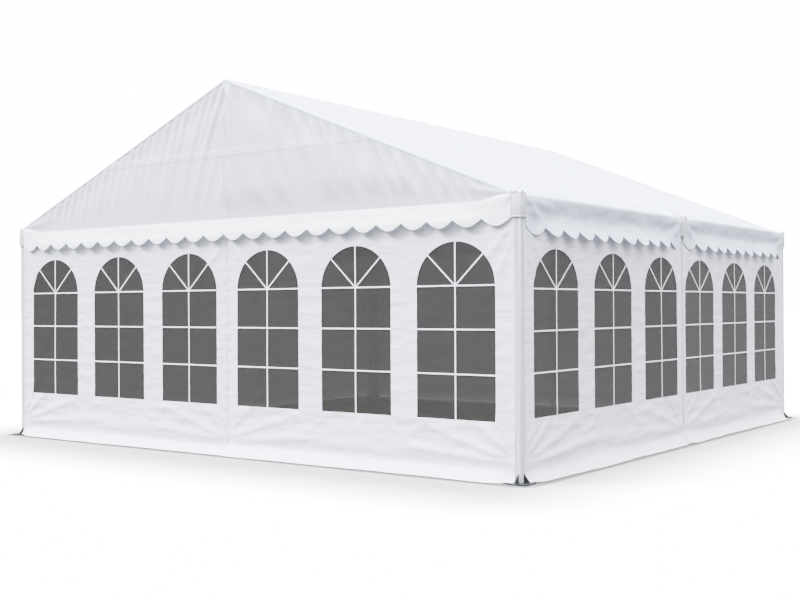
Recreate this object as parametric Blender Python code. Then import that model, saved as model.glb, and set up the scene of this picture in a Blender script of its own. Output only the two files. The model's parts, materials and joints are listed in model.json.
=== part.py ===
"""Frame marquee tent, six metres square, in two bays of three metres.

Six aluminium posts stand on steel base plates and carry three pairs of rafters. A PVC sheet a bay
covers the roof and hangs down at the eaves as a scalloped valance, one sheet closes each gable over
a like valance, and eight wall panels hang between the posts. The panels on the front and on the
right side have three arched windows each.

Metres. +X runs across the tent, +Y along the ridge from front to rear, +Z up. The origin is in the
middle of the footprint, on the ground.
"""

import math

import bmesh
import bpy
from mathutils import Matrix, Vector

# Driving sizes of the tent
SPAN = 6.0
BAY = 3.0
BAY_COUNT = 2
LENGTH = BAY * BAY_COUNT
BRACKET_TOP = 2.16
EAVE_EDGE = 2.14
RIDGE_TOP = 3.37
SEAT_GAP = 0.0003

# Posts and what they stand on
POST_SIDE = 0.062
PLATE_SIDE = 0.16
PLATE_THICK = 0.010
PLATE_SHIFT = 0.022
STAKE_HOLE_RADIUS = 0.010
STAKE_HOLE_INSET = 0.020
STAKE_HOLE_SIDES = 10
FIN_REACH = 0.062
FIN_TALL = 0.078
FIN_THICK = 0.008

# Sleeves at the eaves that join post, rafter and beams
BRACKET_SIDE = 0.082
BRACKET_TALL = 0.18
POCKET_DEEP = 0.12

# Beams and rafters
BEAM_WIDE = 0.05
BEAM_TALL = 0.08
RAFTER_DEEP = 0.10
GABLE_BEAM_LOW = 1.985
GABLE_BEAM_TALL = 0.06

# Sheets
FABRIC = 0.004
ROOF_FABRIC = 0.005
ROOF_OVERHANG = 0.045
WALL_TOP_AT_GABLE = 2.04
WALL_TOP_AT_SIDE = 2.10

# Scalloped edges
SIDE_SCALLOPS = 11
SIDE_NOTCH = 1.914
GABLE_SCALLOPS = 24
GABLE_NOTCH = 1.965
SCALLOP_DEEP = 0.052
SCALLOP_STEPS = 6
HEM_SPARE = 0.004

# Arched windows
WINDOW_WIDE = 0.71
WINDOW_LOW = 0.465
WINDOW_HIGH = 1.79
WINDOW_PITCH = 0.98
WINDOWS_A_PANEL = 3
ARCH_STEPS = 16
FILM_THICK = 0.003
FILM_MARGIN = 0.03

# Places that follow from the sizes
HALF_SPAN = SPAN / 2
HALF_LENGTH = LENGTH / 2
HALF_POST = POST_SIDE / 2
HALF_BRACKET = BRACKET_SIDE / 2
HALF_BEAM = BEAM_WIDE / 2
BRACKET_LOW = BRACKET_TOP - BRACKET_TALL
WALL_FACE = HALF_BEAM + SEAT_GAP
GABLE_SHEET_FACE = WALL_FACE + FABRIC + SEAT_GAP
EAVE_OUT = HALF_SPAN + WALL_FACE + FABRIC + SEAT_GAP + ROOF_FABRIC
SLOPE = math.atan2(RIDGE_TOP - EAVE_EDGE, EAVE_OUT)
ROOF_DROP = ROOF_FABRIC / math.cos(SLOPE)
INNER_FACE = HALF_SPAN - HALF_BRACKET - SEAT_GAP
WINDOW_ROW_MIDDLE = WINDOWS_A_PANEL * WINDOW_PITCH / 2

SIDES = {"left": -1, "right": 1}
FRAMES = {"front": -HALF_LENGTH, "middle": 0.0, "rear": HALF_LENGTH}
BAYS = {"front": -BAY / 2, "rear": BAY / 2}
GABLES = {"front": -1, "rear": 1}
WINDOWED_WALLS = ("front", "right")

# Colour, roughness and metallic value of each finish
FINISHES = {
    "roof_pvc": ((0.83, 0.87, 0.92, 1.0), 0.45, 0.0),
    "gable_pvc": ((0.78, 0.80, 0.83, 1.0), 0.5, 0.0),
    "wall_pvc": ((0.82, 0.82, 0.83, 1.0), 0.5, 0.0),
    "window_film": ((0.20, 0.21, 0.22, 0.6), 0.15, 0.0),
    "aluminium": ((0.72, 0.73, 0.75, 1.0), 0.35, 1.0),
    "galvanised_steel": ((0.30, 0.31, 0.32, 1.0), 0.55, 0.9),
    "bracket_enamel": ((0.80, 0.81, 0.82, 1.0), 0.4, 0.2),
}


def new_collection(name):
    """Adds a collection to the scene and returns it."""
    collection = bpy.data.collections.new(name)
    bpy.context.scene.collection.children.link(collection)
    return collection


def make_finishes():
    """Makes one Principled material for each finish."""
    made = {}
    for name, (colour, roughness, metallic) in FINISHES.items():
        material = bpy.data.materials.new(name)
        material.use_nodes = True
        shader = material.node_tree.nodes["Principled BSDF"]
        shader.inputs["Base Color"].default_value = colour
        shader.inputs["Alpha"].default_value = colour[3]
        shader.inputs["Roughness"].default_value = roughness
        shader.inputs["Metallic"].default_value = metallic
        made[name] = material
    return made


def underside(x):
    """Height of the roof sheet's lower face at a place across the tent."""
    return RIDGE_TOP - ROOF_DROP - abs(x) * math.tan(SLOPE)


def add_object(name, mesh, finish, collection):
    """Puts a mesh in the scene as a named piece with its finish."""
    piece = bpy.data.objects.new(name, mesh)
    collection.objects.link(piece)
    if finish is not None:
        mesh.materials.clear()
        mesh.materials.append(finish)
    return piece


def box_mesh(name, low, high):
    """A box between two corners."""
    mesh = bpy.data.meshes.new(name)
    low = Vector(low)
    high = Vector(high)
    shape = bmesh.new()
    place = Matrix.Translation((low + high) / 2) @ Matrix.Diagonal((*(high - low), 1.0))
    bmesh.ops.create_cube(shape, size=1.0, matrix=place)
    shape.to_mesh(mesh)
    shape.free()
    return mesh


def outline_mesh(name, loops, thick, turn, origin):
    """A flat outline with holes, drawn in two axes and given its thickness.

    turn stands the outline up; origin is the place of its middle plane.
    """
    curve = bpy.data.curves.new(name + "_outline", "CURVE")
    curve.dimensions = "2D"
    curve.fill_mode = "BOTH"
    curve.extrude = thick / 2
    for loop in loops:
        spline = curve.splines.new("POLY")
        spline.points.add(len(loop) - 1)
        for point, (across, up) in zip(spline.points, loop):
            point.co = (across, up, 0.0, 1.0)
        spline.use_cyclic_u = True
    guide = bpy.data.objects.new(name + "_outline", curve)
    bpy.context.scene.collection.objects.link(guide)
    depsgraph = bpy.context.evaluated_depsgraph_get()
    mesh = bpy.data.meshes.new_from_object(guide.evaluated_get(depsgraph))
    bpy.data.objects.remove(guide)
    bpy.data.curves.remove(curve)
    shape = bmesh.new()
    shape.from_mesh(mesh)
    bmesh.ops.remove_doubles(shape, verts=shape.verts, dist=0.00001)
    bmesh.ops.transform(shape, matrix=Matrix.Translation(origin) @ turn, verts=shape.verts)
    bmesh.ops.recalc_face_normals(shape, faces=shape.faces)
    shape.to_mesh(mesh)
    shape.free()
    mesh.name = name
    return mesh


# Outline across the tent and up, and outline along the tent and up
FACING_GABLE = Matrix.Rotation(math.pi / 2, 4, "X")
FACING_SIDE = Matrix.Rotation(math.pi / 2, 4, "Z") @ FACING_GABLE
LYING_FLAT = Matrix.Identity(4)


def join_with(piece, meshes, operation, cutters):
    """Unites a piece with meshes, or cuts it by them, with exact booleans."""
    for number, mesh in enumerate(meshes):
        tool = add_object(f"{piece.name}_tool_{number}", mesh, None, cutters)
        tool.hide_render = True
        tool.display_type = "WIRE"
        modifier = piece.modifiers.new(operation.title() + str(number), "BOOLEAN")
        modifier.operation = operation
        modifier.solver = "EXACT"
        modifier.object = tool


def scallops(start, stop, notch, count):
    """Points of a scalloped lower edge, from start to stop, hanging below the notches."""
    pitch = (stop - start) / count
    points = []
    for number in range(count):
        for step in range(SCALLOP_STEPS):
            share = step / SCALLOP_STEPS
            across = start + (number + share) * pitch
            points.append((across, notch - SCALLOP_DEEP * math.sin(math.pi * share)))
    points.append((stop, notch))
    return points


def arch(centre):
    """Outline of one arched window around a centre line."""
    radius = WINDOW_WIDE / 2
    spring = WINDOW_HIGH - radius
    points = [(centre - radius, WINDOW_LOW), (centre + radius, WINDOW_LOW)]
    for step in range(ARCH_STEPS + 1):
        angle = math.pi * step / ARCH_STEPS
        points.append((centre + radius * math.cos(angle), spring + radius * math.sin(angle)))
    return points


def window_centres(middle):
    """Centre lines of a panel's windows around the panel's middle."""
    half_row = (WINDOWS_A_PANEL - 1) / 2
    return [middle + (number - half_row) * WINDOW_PITCH for number in range(WINDOWS_A_PANEL)]


def post_places():
    """Name and place of each post: the frame it is in and the side it is on."""
    for frame, along in FRAMES.items():
        for side, sign in SIDES.items():
            yield f"{frame}_{side}", sign * HALF_SPAN, along


def fin_mesh(name, middle, outward, turn, origin):
    """A triangular fin that leans on a post's outer face and is sunk in the plate under it."""
    foot = middle + outward * (HALF_POST + SEAT_GAP)
    sunk = PLATE_THICK / 2
    fin = [(foot, sunk), (foot + outward * FIN_REACH, sunk), (foot, FIN_TALL)]
    return outline_mesh(name, [fin], FIN_THICK, turn, origin)


def add_base_plate(name, x, y, finish, pieces, cutters):
    """A steel plate under a post, with two stake holes and an upright fin on each outer side."""
    out_x = math.copysign(1.0, x)
    out_y = math.copysign(1.0, y) if y else 0.0
    middle_x = x + out_x * PLATE_SHIFT
    middle_y = y + out_y * PLATE_SHIFT
    half = PLATE_SIDE / 2
    square = [(-half, -half), (half, -half), (half, half), (-half, half)]
    loops = [[(middle_x + across, middle_y + along) for across, along in square]]
    hole_x = middle_x + out_x * (half - STAKE_HOLE_INSET)
    for sign in (-1, 1):
        hole_y = middle_y + sign * (half - STAKE_HOLE_INSET)
        loops.append([
            (
                hole_x + STAKE_HOLE_RADIUS * math.cos(math.tau * step / STAKE_HOLE_SIDES),
                hole_y + STAKE_HOLE_RADIUS * math.sin(math.tau * step / STAKE_HOLE_SIDES),
            )
            for step in range(STAKE_HOLE_SIDES)
        ])
    mesh = outline_mesh(name, loops, PLATE_THICK, LYING_FLAT, (0.0, 0.0, PLATE_THICK / 2))
    plate = add_object(name, mesh, finish, pieces)
    fins = [fin_mesh(name + "_fin_across", x, out_x, FACING_GABLE, (0.0, y, 0.0))]
    if out_y:
        fins.append(fin_mesh(name + "_fin_along", y, out_y, FACING_SIDE, (x, 0.0, 0.0)))
    join_with(plate, fins, "UNION", cutters)


def add_posts(finishes, pieces, cutters):
    """Posts, their base plates and the sleeves at the eaves."""
    post_top = BRACKET_LOW + POCKET_DEEP - SEAT_GAP
    for name, x, y in post_places():
        add_base_plate(f"base_plate_{name}", x, y, finishes["galvanised_steel"], pieces, cutters)
        low = (x - HALF_POST, y - HALF_POST, PLATE_THICK + SEAT_GAP)
        high = (x + HALF_POST, y + HALF_POST, post_top)
        add_object(f"post_{name}", box_mesh(f"post_{name}", low, high), finishes["aluminium"], pieces)
        low = (x - HALF_BRACKET, y - HALF_BRACKET, BRACKET_LOW)
        high = (x + HALF_BRACKET, y + HALF_BRACKET, BRACKET_TOP)
        bracket_name = f"eave_bracket_{name}"
        bracket_mesh = box_mesh(bracket_name, low, high)
        bracket = add_object(bracket_name, bracket_mesh, finishes["bracket_enamel"], pieces)
        room = HALF_POST + SEAT_GAP
        low = (x - room, y - room, BRACKET_LOW - BRACKET_TALL)
        high = (x + room, y + room, BRACKET_LOW + POCKET_DEEP)
        join_with(bracket, [box_mesh(bracket_name + "_pocket", low, high)], "DIFFERENCE", cutters)


def add_rafters(finish, pieces):
    """One pair of rafters a frame, joined at the ridge."""
    tall = RAFTER_DEEP / math.cos(SLOPE)
    for frame, along in FRAMES.items():
        upper = [(x, underside(x) - SEAT_GAP) for x in (-INNER_FACE, 0.0, INNER_FACE)]
        lower = [(x, z - tall) for x, z in reversed(upper)]
        name = f"rafters_{frame}"
        mesh = outline_mesh(name, [upper + lower], BEAM_WIDE, FACING_GABLE, (0.0, along, 0.0))
        add_object(name, mesh, finish, pieces)


def add_beams(finish, pieces):
    """Eave and ridge beams of each bay, and the beam and upright of each gable."""
    half_clear = BAY / 2 - HALF_BRACKET - SEAT_GAP
    half_ridge = BAY / 2 - HALF_BEAM - SEAT_GAP
    eave_top = underside(HALF_SPAN + HALF_BEAM) - SEAT_GAP
    ridge_top = underside(HALF_BEAM) - SEAT_GAP
    for bay, along in BAYS.items():
        for side, sign in SIDES.items():
            middle = sign * HALF_SPAN
            low = (middle - HALF_BEAM, along - half_clear, eave_top - BEAM_TALL)
            high = (middle + HALF_BEAM, along + half_clear, eave_top)
            name = f"eave_beam_{bay}_{side}"
            add_object(name, box_mesh(name, low, high), finish, pieces)
        low = (-HALF_BEAM, along - half_ridge, ridge_top - BEAM_TALL)
        high = (HALF_BEAM, along + half_ridge, ridge_top)
        name = f"ridge_beam_{bay}"
        add_object(name, box_mesh(name, low, high), finish, pieces)
    for gable, sign in GABLES.items():
        middle = sign * HALF_LENGTH
        low = (-INNER_FACE, middle - HALF_BEAM, GABLE_BEAM_LOW)
        high = (INNER_FACE, middle + HALF_BEAM, GABLE_BEAM_LOW + GABLE_BEAM_TALL)
        name = f"gable_beam_{gable}"
        add_object(name, box_mesh(name, low, high), finish, pieces)
        low = (-HALF_BEAM, middle - HALF_BEAM, 0.0)
        high = (HALF_BEAM, middle + HALF_BEAM, GABLE_BEAM_LOW - SEAT_GAP)
        name = f"gable_upright_{gable}"
        add_object(name, box_mesh(name, low, high), finish, pieces)


def add_roof_sheets(finish, pieces, cutters):
    """One sheet a bay over the ridge, with a scalloped valance along each eave."""
    hem = SIDE_NOTCH - SCALLOP_DEEP - HEM_SPARE
    valance_inside = EAVE_OUT - ROOF_FABRIC
    right_edge = [(EAVE_OUT, EAVE_EDGE), (EAVE_OUT, hem), (valance_inside, hem)]
    right_edge += [(valance_inside, underside(valance_inside))]
    left_edge = [(-x, z) for x, z in reversed(right_edge)]
    profile = [(0.0, RIDGE_TOP)] + right_edge + [(0.0, RIDGE_TOP - ROOF_DROP)] + left_edge
    room = HALF_BRACKET + SEAT_GAP
    for bay, along in BAYS.items():
        outward = math.copysign(1.0, along)
        inner_edge = outward * SEAT_GAP / 2
        outer_edge = outward * (HALF_LENGTH + ROOF_OVERHANG)
        middle = (inner_edge + outer_edge) / 2
        wide = abs(outer_edge - inner_edge)
        name = f"roof_sheet_{bay}"
        mesh = outline_mesh(name, [profile], wide, FACING_GABLE, (0.0, middle, 0.0))
        sheet = add_object(name, mesh, finish, pieces)
        start = along - BAY / 2 + room
        stop = along + BAY / 2 - room
        edge = scallops(start, stop, SIDE_NOTCH, SIDE_SCALLOPS)
        below = hem - BRACKET_TALL
        edge += [(stop + room, SIDE_NOTCH), (stop + room, below)]
        edge += [(start - room, below), (start - room, SIDE_NOTCH)]
        cuts = [outline_mesh(name + "_hem", [edge], SPAN + BAY, FACING_SIDE, (0.0, 0.0, 0.0))]
        for _, x, y in post_places():
            if abs(y - along) > BAY:
                continue
            low = (x - room, y - room, below)
            high = (x + room, y + room, RIDGE_TOP)
            cuts.append(box_mesh(name + "_notch", low, high))
        join_with(sheet, cuts, "DIFFERENCE", cutters)


def add_gable_sheets(finish, pieces):
    """The triangle over each gable wall, with its scalloped valance."""
    edge = scallops(-INNER_FACE, INNER_FACE, GABLE_NOTCH, GABLE_SCALLOPS)
    rake = [(x, underside(x) - SEAT_GAP) for x in (INNER_FACE, 0.0, -INNER_FACE)]
    for gable, sign in GABLES.items():
        middle = sign * (HALF_LENGTH + GABLE_SHEET_FACE + FABRIC / 2)
        name = f"gable_sheet_{gable}"
        mesh = outline_mesh(name, [edge + rake], FABRIC, FACING_GABLE, (0.0, middle, 0.0))
        add_object(name, mesh, finish, pieces)


def panel_outline(start, stop, top, start_at_post, stop_at_post):
    """A wall panel's outline, stepped back under the sleeves where it ends at a post."""
    post_edge = HALF_POST + SEAT_GAP
    bracket_edge = HALF_BRACKET + SEAT_GAP
    shoulder = BRACKET_LOW - SEAT_GAP
    low = PLATE_THICK + SEAT_GAP
    right = [(stop - SEAT_GAP / 2, low), (stop - SEAT_GAP / 2, top)]
    left = [(start + SEAT_GAP / 2, top), (start + SEAT_GAP / 2, low)]
    if stop_at_post:
        right = [
            (stop - post_edge, low),
            (stop - post_edge, shoulder),
            (stop - bracket_edge, shoulder),
            (stop - bracket_edge, top),
        ]
    if start_at_post:
        left = [
            (start + bracket_edge, top),
            (start + bracket_edge, shoulder),
            (start + post_edge, shoulder),
            (start + post_edge, low),
        ]
    return right + left


def add_wall(name, outline, middle, turn, face, windowed, finishes, pieces):
    """One wall panel and, behind its windows, one sheet of film.

    face is the place of the panel's inner side, away from the tent's middle where it is positive.
    """
    outward = math.copysign(1.0, face)
    loops = [outline]
    if windowed:
        loops += [arch(centre) for centre in window_centres(middle)]
    depth = face + outward * FABRIC / 2
    origin = (0.0, depth, 0.0) if turn is FACING_GABLE else (depth, 0.0, 0.0)
    mesh = outline_mesh(name, loops, FABRIC, turn, origin)
    add_object(name, mesh, finishes["wall_pvc"], pieces)
    if not windowed:
        return
    reach = (WINDOWS_A_PANEL - 1) / 2 * WINDOW_PITCH + WINDOW_WIDE / 2 + FILM_MARGIN
    bottom = WINDOW_LOW - FILM_MARGIN
    top = WINDOW_HIGH + FILM_MARGIN
    rectangle = [
        (middle - reach, bottom),
        (middle + reach, bottom),
        (middle + reach, top),
        (middle - reach, top),
    ]
    depth = face - outward * (SEAT_GAP + FILM_THICK / 2)
    origin = (0.0, depth, 0.0) if turn is FACING_GABLE else (depth, 0.0, 0.0)
    film_name = name.replace("wall", "window_film")
    mesh = outline_mesh(film_name, [rectangle], FILM_THICK, turn, origin)
    add_object(film_name, mesh, finishes["window_film"], pieces)


def add_walls(finishes, pieces):
    """Two wall panels on each of the four sides."""
    for gable, sign in GABLES.items():
        face = sign * (HALF_LENGTH + WALL_FACE)
        for side, way in SIDES.items():
            start = min(0.0, way * HALF_SPAN)
            stop = max(0.0, way * HALF_SPAN)
            outline = panel_outline(start, stop, WALL_TOP_AT_GABLE, way < 0, way > 0)
            name = f"wall_{gable}_{side}_half"
            windowed = gable in WINDOWED_WALLS
            middle = way * WINDOW_ROW_MIDDLE
            add_wall(name, outline, middle, FACING_GABLE, face, windowed, finishes, pieces)
    for side, way in SIDES.items():
        face = way * (HALF_SPAN + WALL_FACE)
        for bay, along in BAYS.items():
            outline = panel_outline(along - BAY / 2, along + BAY / 2, WALL_TOP_AT_SIDE, True, True)
            middle = math.copysign(WINDOW_ROW_MIDDLE, along)
            name = f"wall_{side}_{bay}_bay"
            windowed = side in WINDOWED_WALLS
            add_wall(name, outline, middle, FACING_SIDE, face, windowed, finishes, pieces)


def main():
    for leftover in list(bpy.data.objects):
        bpy.data.objects.remove(leftover)
    pieces = new_collection("marquee_tent")
    cutters = new_collection("marquee_tent_cutters")
    finishes = make_finishes()
    add_posts(finishes, pieces, cutters)
    add_rafters(finishes["aluminium"], pieces)
    add_beams(finishes["aluminium"], pieces)
    add_roof_sheets(finishes["roof_pvc"], pieces, cutters)
    add_gable_sheets(finishes["gable_pvc"], pieces)
    add_walls(finishes, pieces)


main()
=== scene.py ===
"""Looks of the frame marquee tent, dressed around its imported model.

The aluminium frame stays as packed and gets its finishes. Every PVC sheet is cut flat, hung by a
rule and given its thickness, and the posts, feet and eave caps get the detail of the real ones.
Metres, with the origin on the ground in the middle of the tent, +Y to the rear and +Z up.
"""

import json
import logging
import math
from contextlib import contextmanager
from dataclasses import dataclass, field, replace
from enum import Enum
from typing import Callable, Iterator, Sequence

import bpy
import numpy as np
from mathutils import Matrix, Vector

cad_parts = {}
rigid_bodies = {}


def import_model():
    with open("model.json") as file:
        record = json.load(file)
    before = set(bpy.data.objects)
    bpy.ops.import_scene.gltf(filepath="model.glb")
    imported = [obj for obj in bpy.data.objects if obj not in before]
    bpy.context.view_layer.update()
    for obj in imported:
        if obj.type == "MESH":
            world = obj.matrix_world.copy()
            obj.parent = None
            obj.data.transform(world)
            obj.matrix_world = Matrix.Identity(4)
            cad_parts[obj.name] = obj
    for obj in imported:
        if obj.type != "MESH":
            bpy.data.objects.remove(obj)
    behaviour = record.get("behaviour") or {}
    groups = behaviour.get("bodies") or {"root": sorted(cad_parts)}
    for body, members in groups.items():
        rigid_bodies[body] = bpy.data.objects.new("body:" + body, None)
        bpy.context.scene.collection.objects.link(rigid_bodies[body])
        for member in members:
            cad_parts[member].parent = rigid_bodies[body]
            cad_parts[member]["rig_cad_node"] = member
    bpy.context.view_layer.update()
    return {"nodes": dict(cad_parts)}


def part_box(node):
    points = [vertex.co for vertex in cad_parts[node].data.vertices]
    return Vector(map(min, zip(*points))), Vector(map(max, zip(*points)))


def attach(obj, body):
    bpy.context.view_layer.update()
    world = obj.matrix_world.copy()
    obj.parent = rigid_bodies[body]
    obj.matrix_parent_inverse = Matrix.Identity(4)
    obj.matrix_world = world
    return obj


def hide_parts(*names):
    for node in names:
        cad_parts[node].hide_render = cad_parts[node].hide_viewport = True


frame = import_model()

LOG = logging.getLogger("marquee")
BODY = "root"
UP = Vector((0.0, 0.0, 1.0))
WHITE = (1.0, 1.0, 1.0)

Spread = tuple[np.ndarray, np.ndarray]
HangRule = Callable[[np.ndarray, np.ndarray], np.ndarray]


class Wall(Enum):
    """The four sides of the tent, each by the way it faces."""

    FRONT = (0.0, -1.0)
    REAR = (0.0, 1.0)
    LEFT = (-1.0, 0.0)
    RIGHT = (1.0, 0.0)

    @property
    def outward(self) -> Vector:
        """The direction that the side faces."""
        return Vector((*self.value, 0.0))

    @property
    def along(self) -> Vector:
        """The direction that runs to the right for someone outside who faces the side."""
        return UP.cross(self.outward)

    @property
    def is_gable(self) -> bool:
        """Whether the side is a gable and not an eave side."""
        return self.value[0] == 0.0

    def spots(self, run: np.ndarray, out: np.ndarray, up: np.ndarray) -> np.ndarray:
        """Places points in the tent that are given on this side.

        Args:
            run: Distance along the side from its middle.
            out: Distance outwards from the tent's middle.
            up: Height above the ground.

        Returns:
            The places, one row each.
        """
        places = np.outer(run, np.array(self.along)) + np.outer(out, np.array(self.outward))
        places[:, 2] = up
        return places


def smooth_step(low: float, high: float, value: np.ndarray) -> np.ndarray:
    """Rises from 0 at low to 1 at high without a corner.

    Args:
        low: Where the rise starts.
        high: Where it ends; below low, the step falls instead.
        value: Where to read it.

    Returns:
        The height of the step at each value.
    """
    share = np.clip((value - low) / (high - low), 0.0, 1.0)
    return share * share * (3.0 - 2.0 * share)


def cloth_lines(start: float, stop: float, step: float, marks: Sequence[float] = ()) -> np.ndarray:
    """Places the lines of a cut, evenly between marks that each get a line of their own.

    Args:
        start: First line.
        stop: Last line.
        step: About how far apart the lines lie.
        marks: Places between start and stop that a line has to meet.

    Returns:
        The places of all lines, in order.
    """
    stops = sorted({start, stop, *(mark for mark in marks if start < mark < stop)})
    lines: list[float] = []
    for low, high in zip(stops, stops[1:]):
        count = max(1, round((high - low) / step))
        lines.extend(np.linspace(low, high, count, endpoint=False))
    lines.append(stop)
    return np.array(lines)


def both_sides(half: np.ndarray) -> np.ndarray:
    """Repeats lines that start at 0 on the other side of it."""
    return np.concatenate([-half[:0:-1], half])


@dataclass(frozen=True)
class Ripple:
    """Smooth random waves over a cloth, the same on each run."""

    seed: int
    cell: tuple[float, float]
    table_side: int = 64

    def __call__(self, across: np.ndarray, up: np.ndarray) -> np.ndarray:
        """Reads the waves.

        Args:
            across: Places across the cloth.
            up: Places up the cloth.

        Returns:
            Heights between -1 and 1.
        """
        table = np.random.default_rng(self.seed).uniform(-1.0, 1.0, (self.table_side, self.table_side))
        column, right = np.divmod(np.asarray(across, float) / self.cell[0] + self.table_side, 1.0)
        row, above = np.divmod(np.asarray(up, float) / self.cell[1] + self.table_side, 1.0)
        column = column.astype(int)
        row = row.astype(int)
        right = right**3 * (right * (right * 6.0 - 15.0) + 10.0)
        above = above**3 * (above * (above * 6.0 - 15.0) + 10.0)

        def corner(add_column: int, add_row: int) -> np.ndarray:
            """The random height at one corner of each cell."""
            return table[(column + add_column) % self.table_side, (row + add_row) % self.table_side]

        low = corner(0, 0) * (1.0 - right) + corner(1, 0) * right
        high = corner(0, 1) * (1.0 - right) + corner(1, 1) * right
        return low * (1.0 - above) + high * above


@dataclass(frozen=True)
class Fold:
    """A soft ridge that a pull raises in a cloth, from a tight start to a wide end."""

    start: tuple[float, float]
    end: tuple[float, float]
    width: float
    height: float
    spread: float = 1.0

    def lift(self, across: np.ndarray, up: np.ndarray) -> np.ndarray:
        """How far the ridge stands out of the cloth.

        Args:
            across: Places across the cloth.
            up: Places up the cloth.

        Returns:
            The ridge's height at each place.
        """
        run = (self.end[0] - self.start[0], self.end[1] - self.start[1])
        length = math.hypot(*run)
        ahead = ((across - self.start[0]) * run[0] + (up - self.start[1]) * run[1]) / length**2
        aside = ((across - self.start[0]) * run[1] - (up - self.start[1]) * run[0]) / length
        share = np.clip(ahead, 0.0, 1.0)
        wide = self.width * (1.0 + self.spread * share)
        fade = smooth_step(-0.06, 0.22, ahead) * smooth_step(1.12, 0.45, ahead)
        return self.height * fade * np.exp(-((aside / wide) ** 2))


def clear_selection() -> None:
    """Leaves edit mode and deselects everything."""
    if bpy.context.object is not None and bpy.context.object.mode != "OBJECT":
        bpy.ops.object.mode_set(mode="OBJECT")
    bpy.ops.object.select_all(action="DESELECT")


def pick(piece: bpy.types.Object) -> None:
    """Makes a piece the only one selected, and the active one."""
    clear_selection()
    piece.select_set(True)
    bpy.context.view_layer.objects.active = piece


@contextmanager
def editing(piece: bpy.types.Object) -> Iterator[None]:
    """Opens a piece's mesh in edit mode, and closes it at the end."""
    pick(piece)
    bpy.ops.object.mode_set(mode="EDIT")
    yield
    bpy.ops.object.mode_set(mode="OBJECT")


def shade_smooth(piece: bpy.types.Object, degrees: float = 35.0) -> None:
    """Shades a piece smooth, apart from edges that turn by more than an angle."""
    pick(piece)
    bpy.ops.object.shade_smooth_by_angle(angle=math.radians(degrees))


def settle(piece: bpy.types.Object) -> bpy.types.Object:
    """Moves a piece's place, turn and scale into its mesh."""
    pick(piece)
    bpy.ops.object.transform_apply(location=True, rotation=True, scale=True)
    return piece


def apply_modifiers(piece: bpy.types.Object) -> bpy.types.Object:
    """Applies a piece's modifiers in order."""
    pick(piece)
    for modifier in list(piece.modifiers):
        bpy.ops.object.modifier_apply(modifier=modifier.name)
    return piece


def join(pieces: Sequence[bpy.types.Object], name: str) -> bpy.types.Object:
    """Joins pieces into the first of them and names it."""
    clear_selection()
    for piece in pieces:
        piece.select_set(True)
    bpy.context.view_layer.objects.active = pieces[0]
    bpy.ops.object.join()
    pieces[0].name = name
    pieces[0].data.name = name
    return pieces[0]


def soften(piece: bpy.types.Object, width: float, segments: int = 2) -> bpy.types.Object:
    """Rounds the sharp edges of a hard piece.

    Args:
        piece: The piece, with its scale applied.
        width: How far the rounding reaches from an edge.
        segments: Facets across the rounding.

    Returns:
        The same piece.
    """
    bevel = piece.modifiers.new("soften", "BEVEL")
    bevel.width = width
    bevel.segments = segments
    bevel.limit_method = "ANGLE"
    bevel.angle_limit = math.radians(40.0)
    return apply_modifiers(piece)


def add_block(name: str, low: Sequence[float], high: Sequence[float], round_by: float) -> bpy.types.Object:
    """Adds a rounded block between two corners.

    Args:
        name: The piece's name.
        low: Its lowest corner.
        high: Its highest corner.
        round_by: How far its edges are rounded.

    Returns:
        The block, with its place in its mesh.
    """
    clear_selection()
    low_corner = Vector(low)
    high_corner = Vector(high)
    bpy.ops.mesh.primitive_cube_add(size=1.0, location=(low_corner + high_corner) / 2.0)
    block = bpy.context.object
    block.name = name
    block.scale = high_corner - low_corner
    return soften(settle(block), round_by)


def add_turned(
    name: str, place: Sequence[float], radius: float, depth: float, sides: int, axis: str = "Z"
) -> bpy.types.Object:
    """Adds a rounded bolt head, pin or disc.

    Args:
        name: The piece's name.
        place: Its centre.
        radius: Its radius.
        depth: Its length along its axis.
        sides: Number of its sides.
        axis: The axis that it stands along.

    Returns:
        The piece, with its place in its mesh.
    """
    clear_selection()
    bpy.ops.mesh.primitive_cylinder_add(vertices=sides, radius=radius, depth=depth, location=(0.0, 0.0, 0.0))
    turned = bpy.context.object
    turned.name = name
    quarter = math.pi / 2.0
    turned.rotation_euler = {"X": (0.0, quarter, 0.0), "Y": (quarter, 0.0, 0.0), "Z": (0.0, 0.0, 0.0)}[axis]
    turned.location = place
    return soften(settle(turned), radius * 0.15)


def vertex_places(piece: bpy.types.Object) -> np.ndarray:
    """The places of a piece's vertices, one row each."""
    places = np.zeros(len(piece.data.vertices) * 3)
    piece.data.vertices.foreach_get("co", places)
    return places.reshape(-1, 3)


def move_vertices(piece: bpy.types.Object, places: np.ndarray) -> None:
    """Puts a piece's vertices at new places, one row each."""
    piece.data.vertices.foreach_set("co", places.ravel())
    piece.data.update()


def lay_flat(cloth: bpy.types.Object, places: np.ndarray) -> None:
    """Puts a flat cloth's vertices at new places, and its map with them."""
    corners = np.zeros(len(cloth.data.loops), int)
    cloth.data.loops.foreach_get("vertex_index", corners)
    cloth.data.uv_layers.active.data.foreach_set("uv", places[corners, :2].ravel())
    move_vertices(cloth, places)


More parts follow.
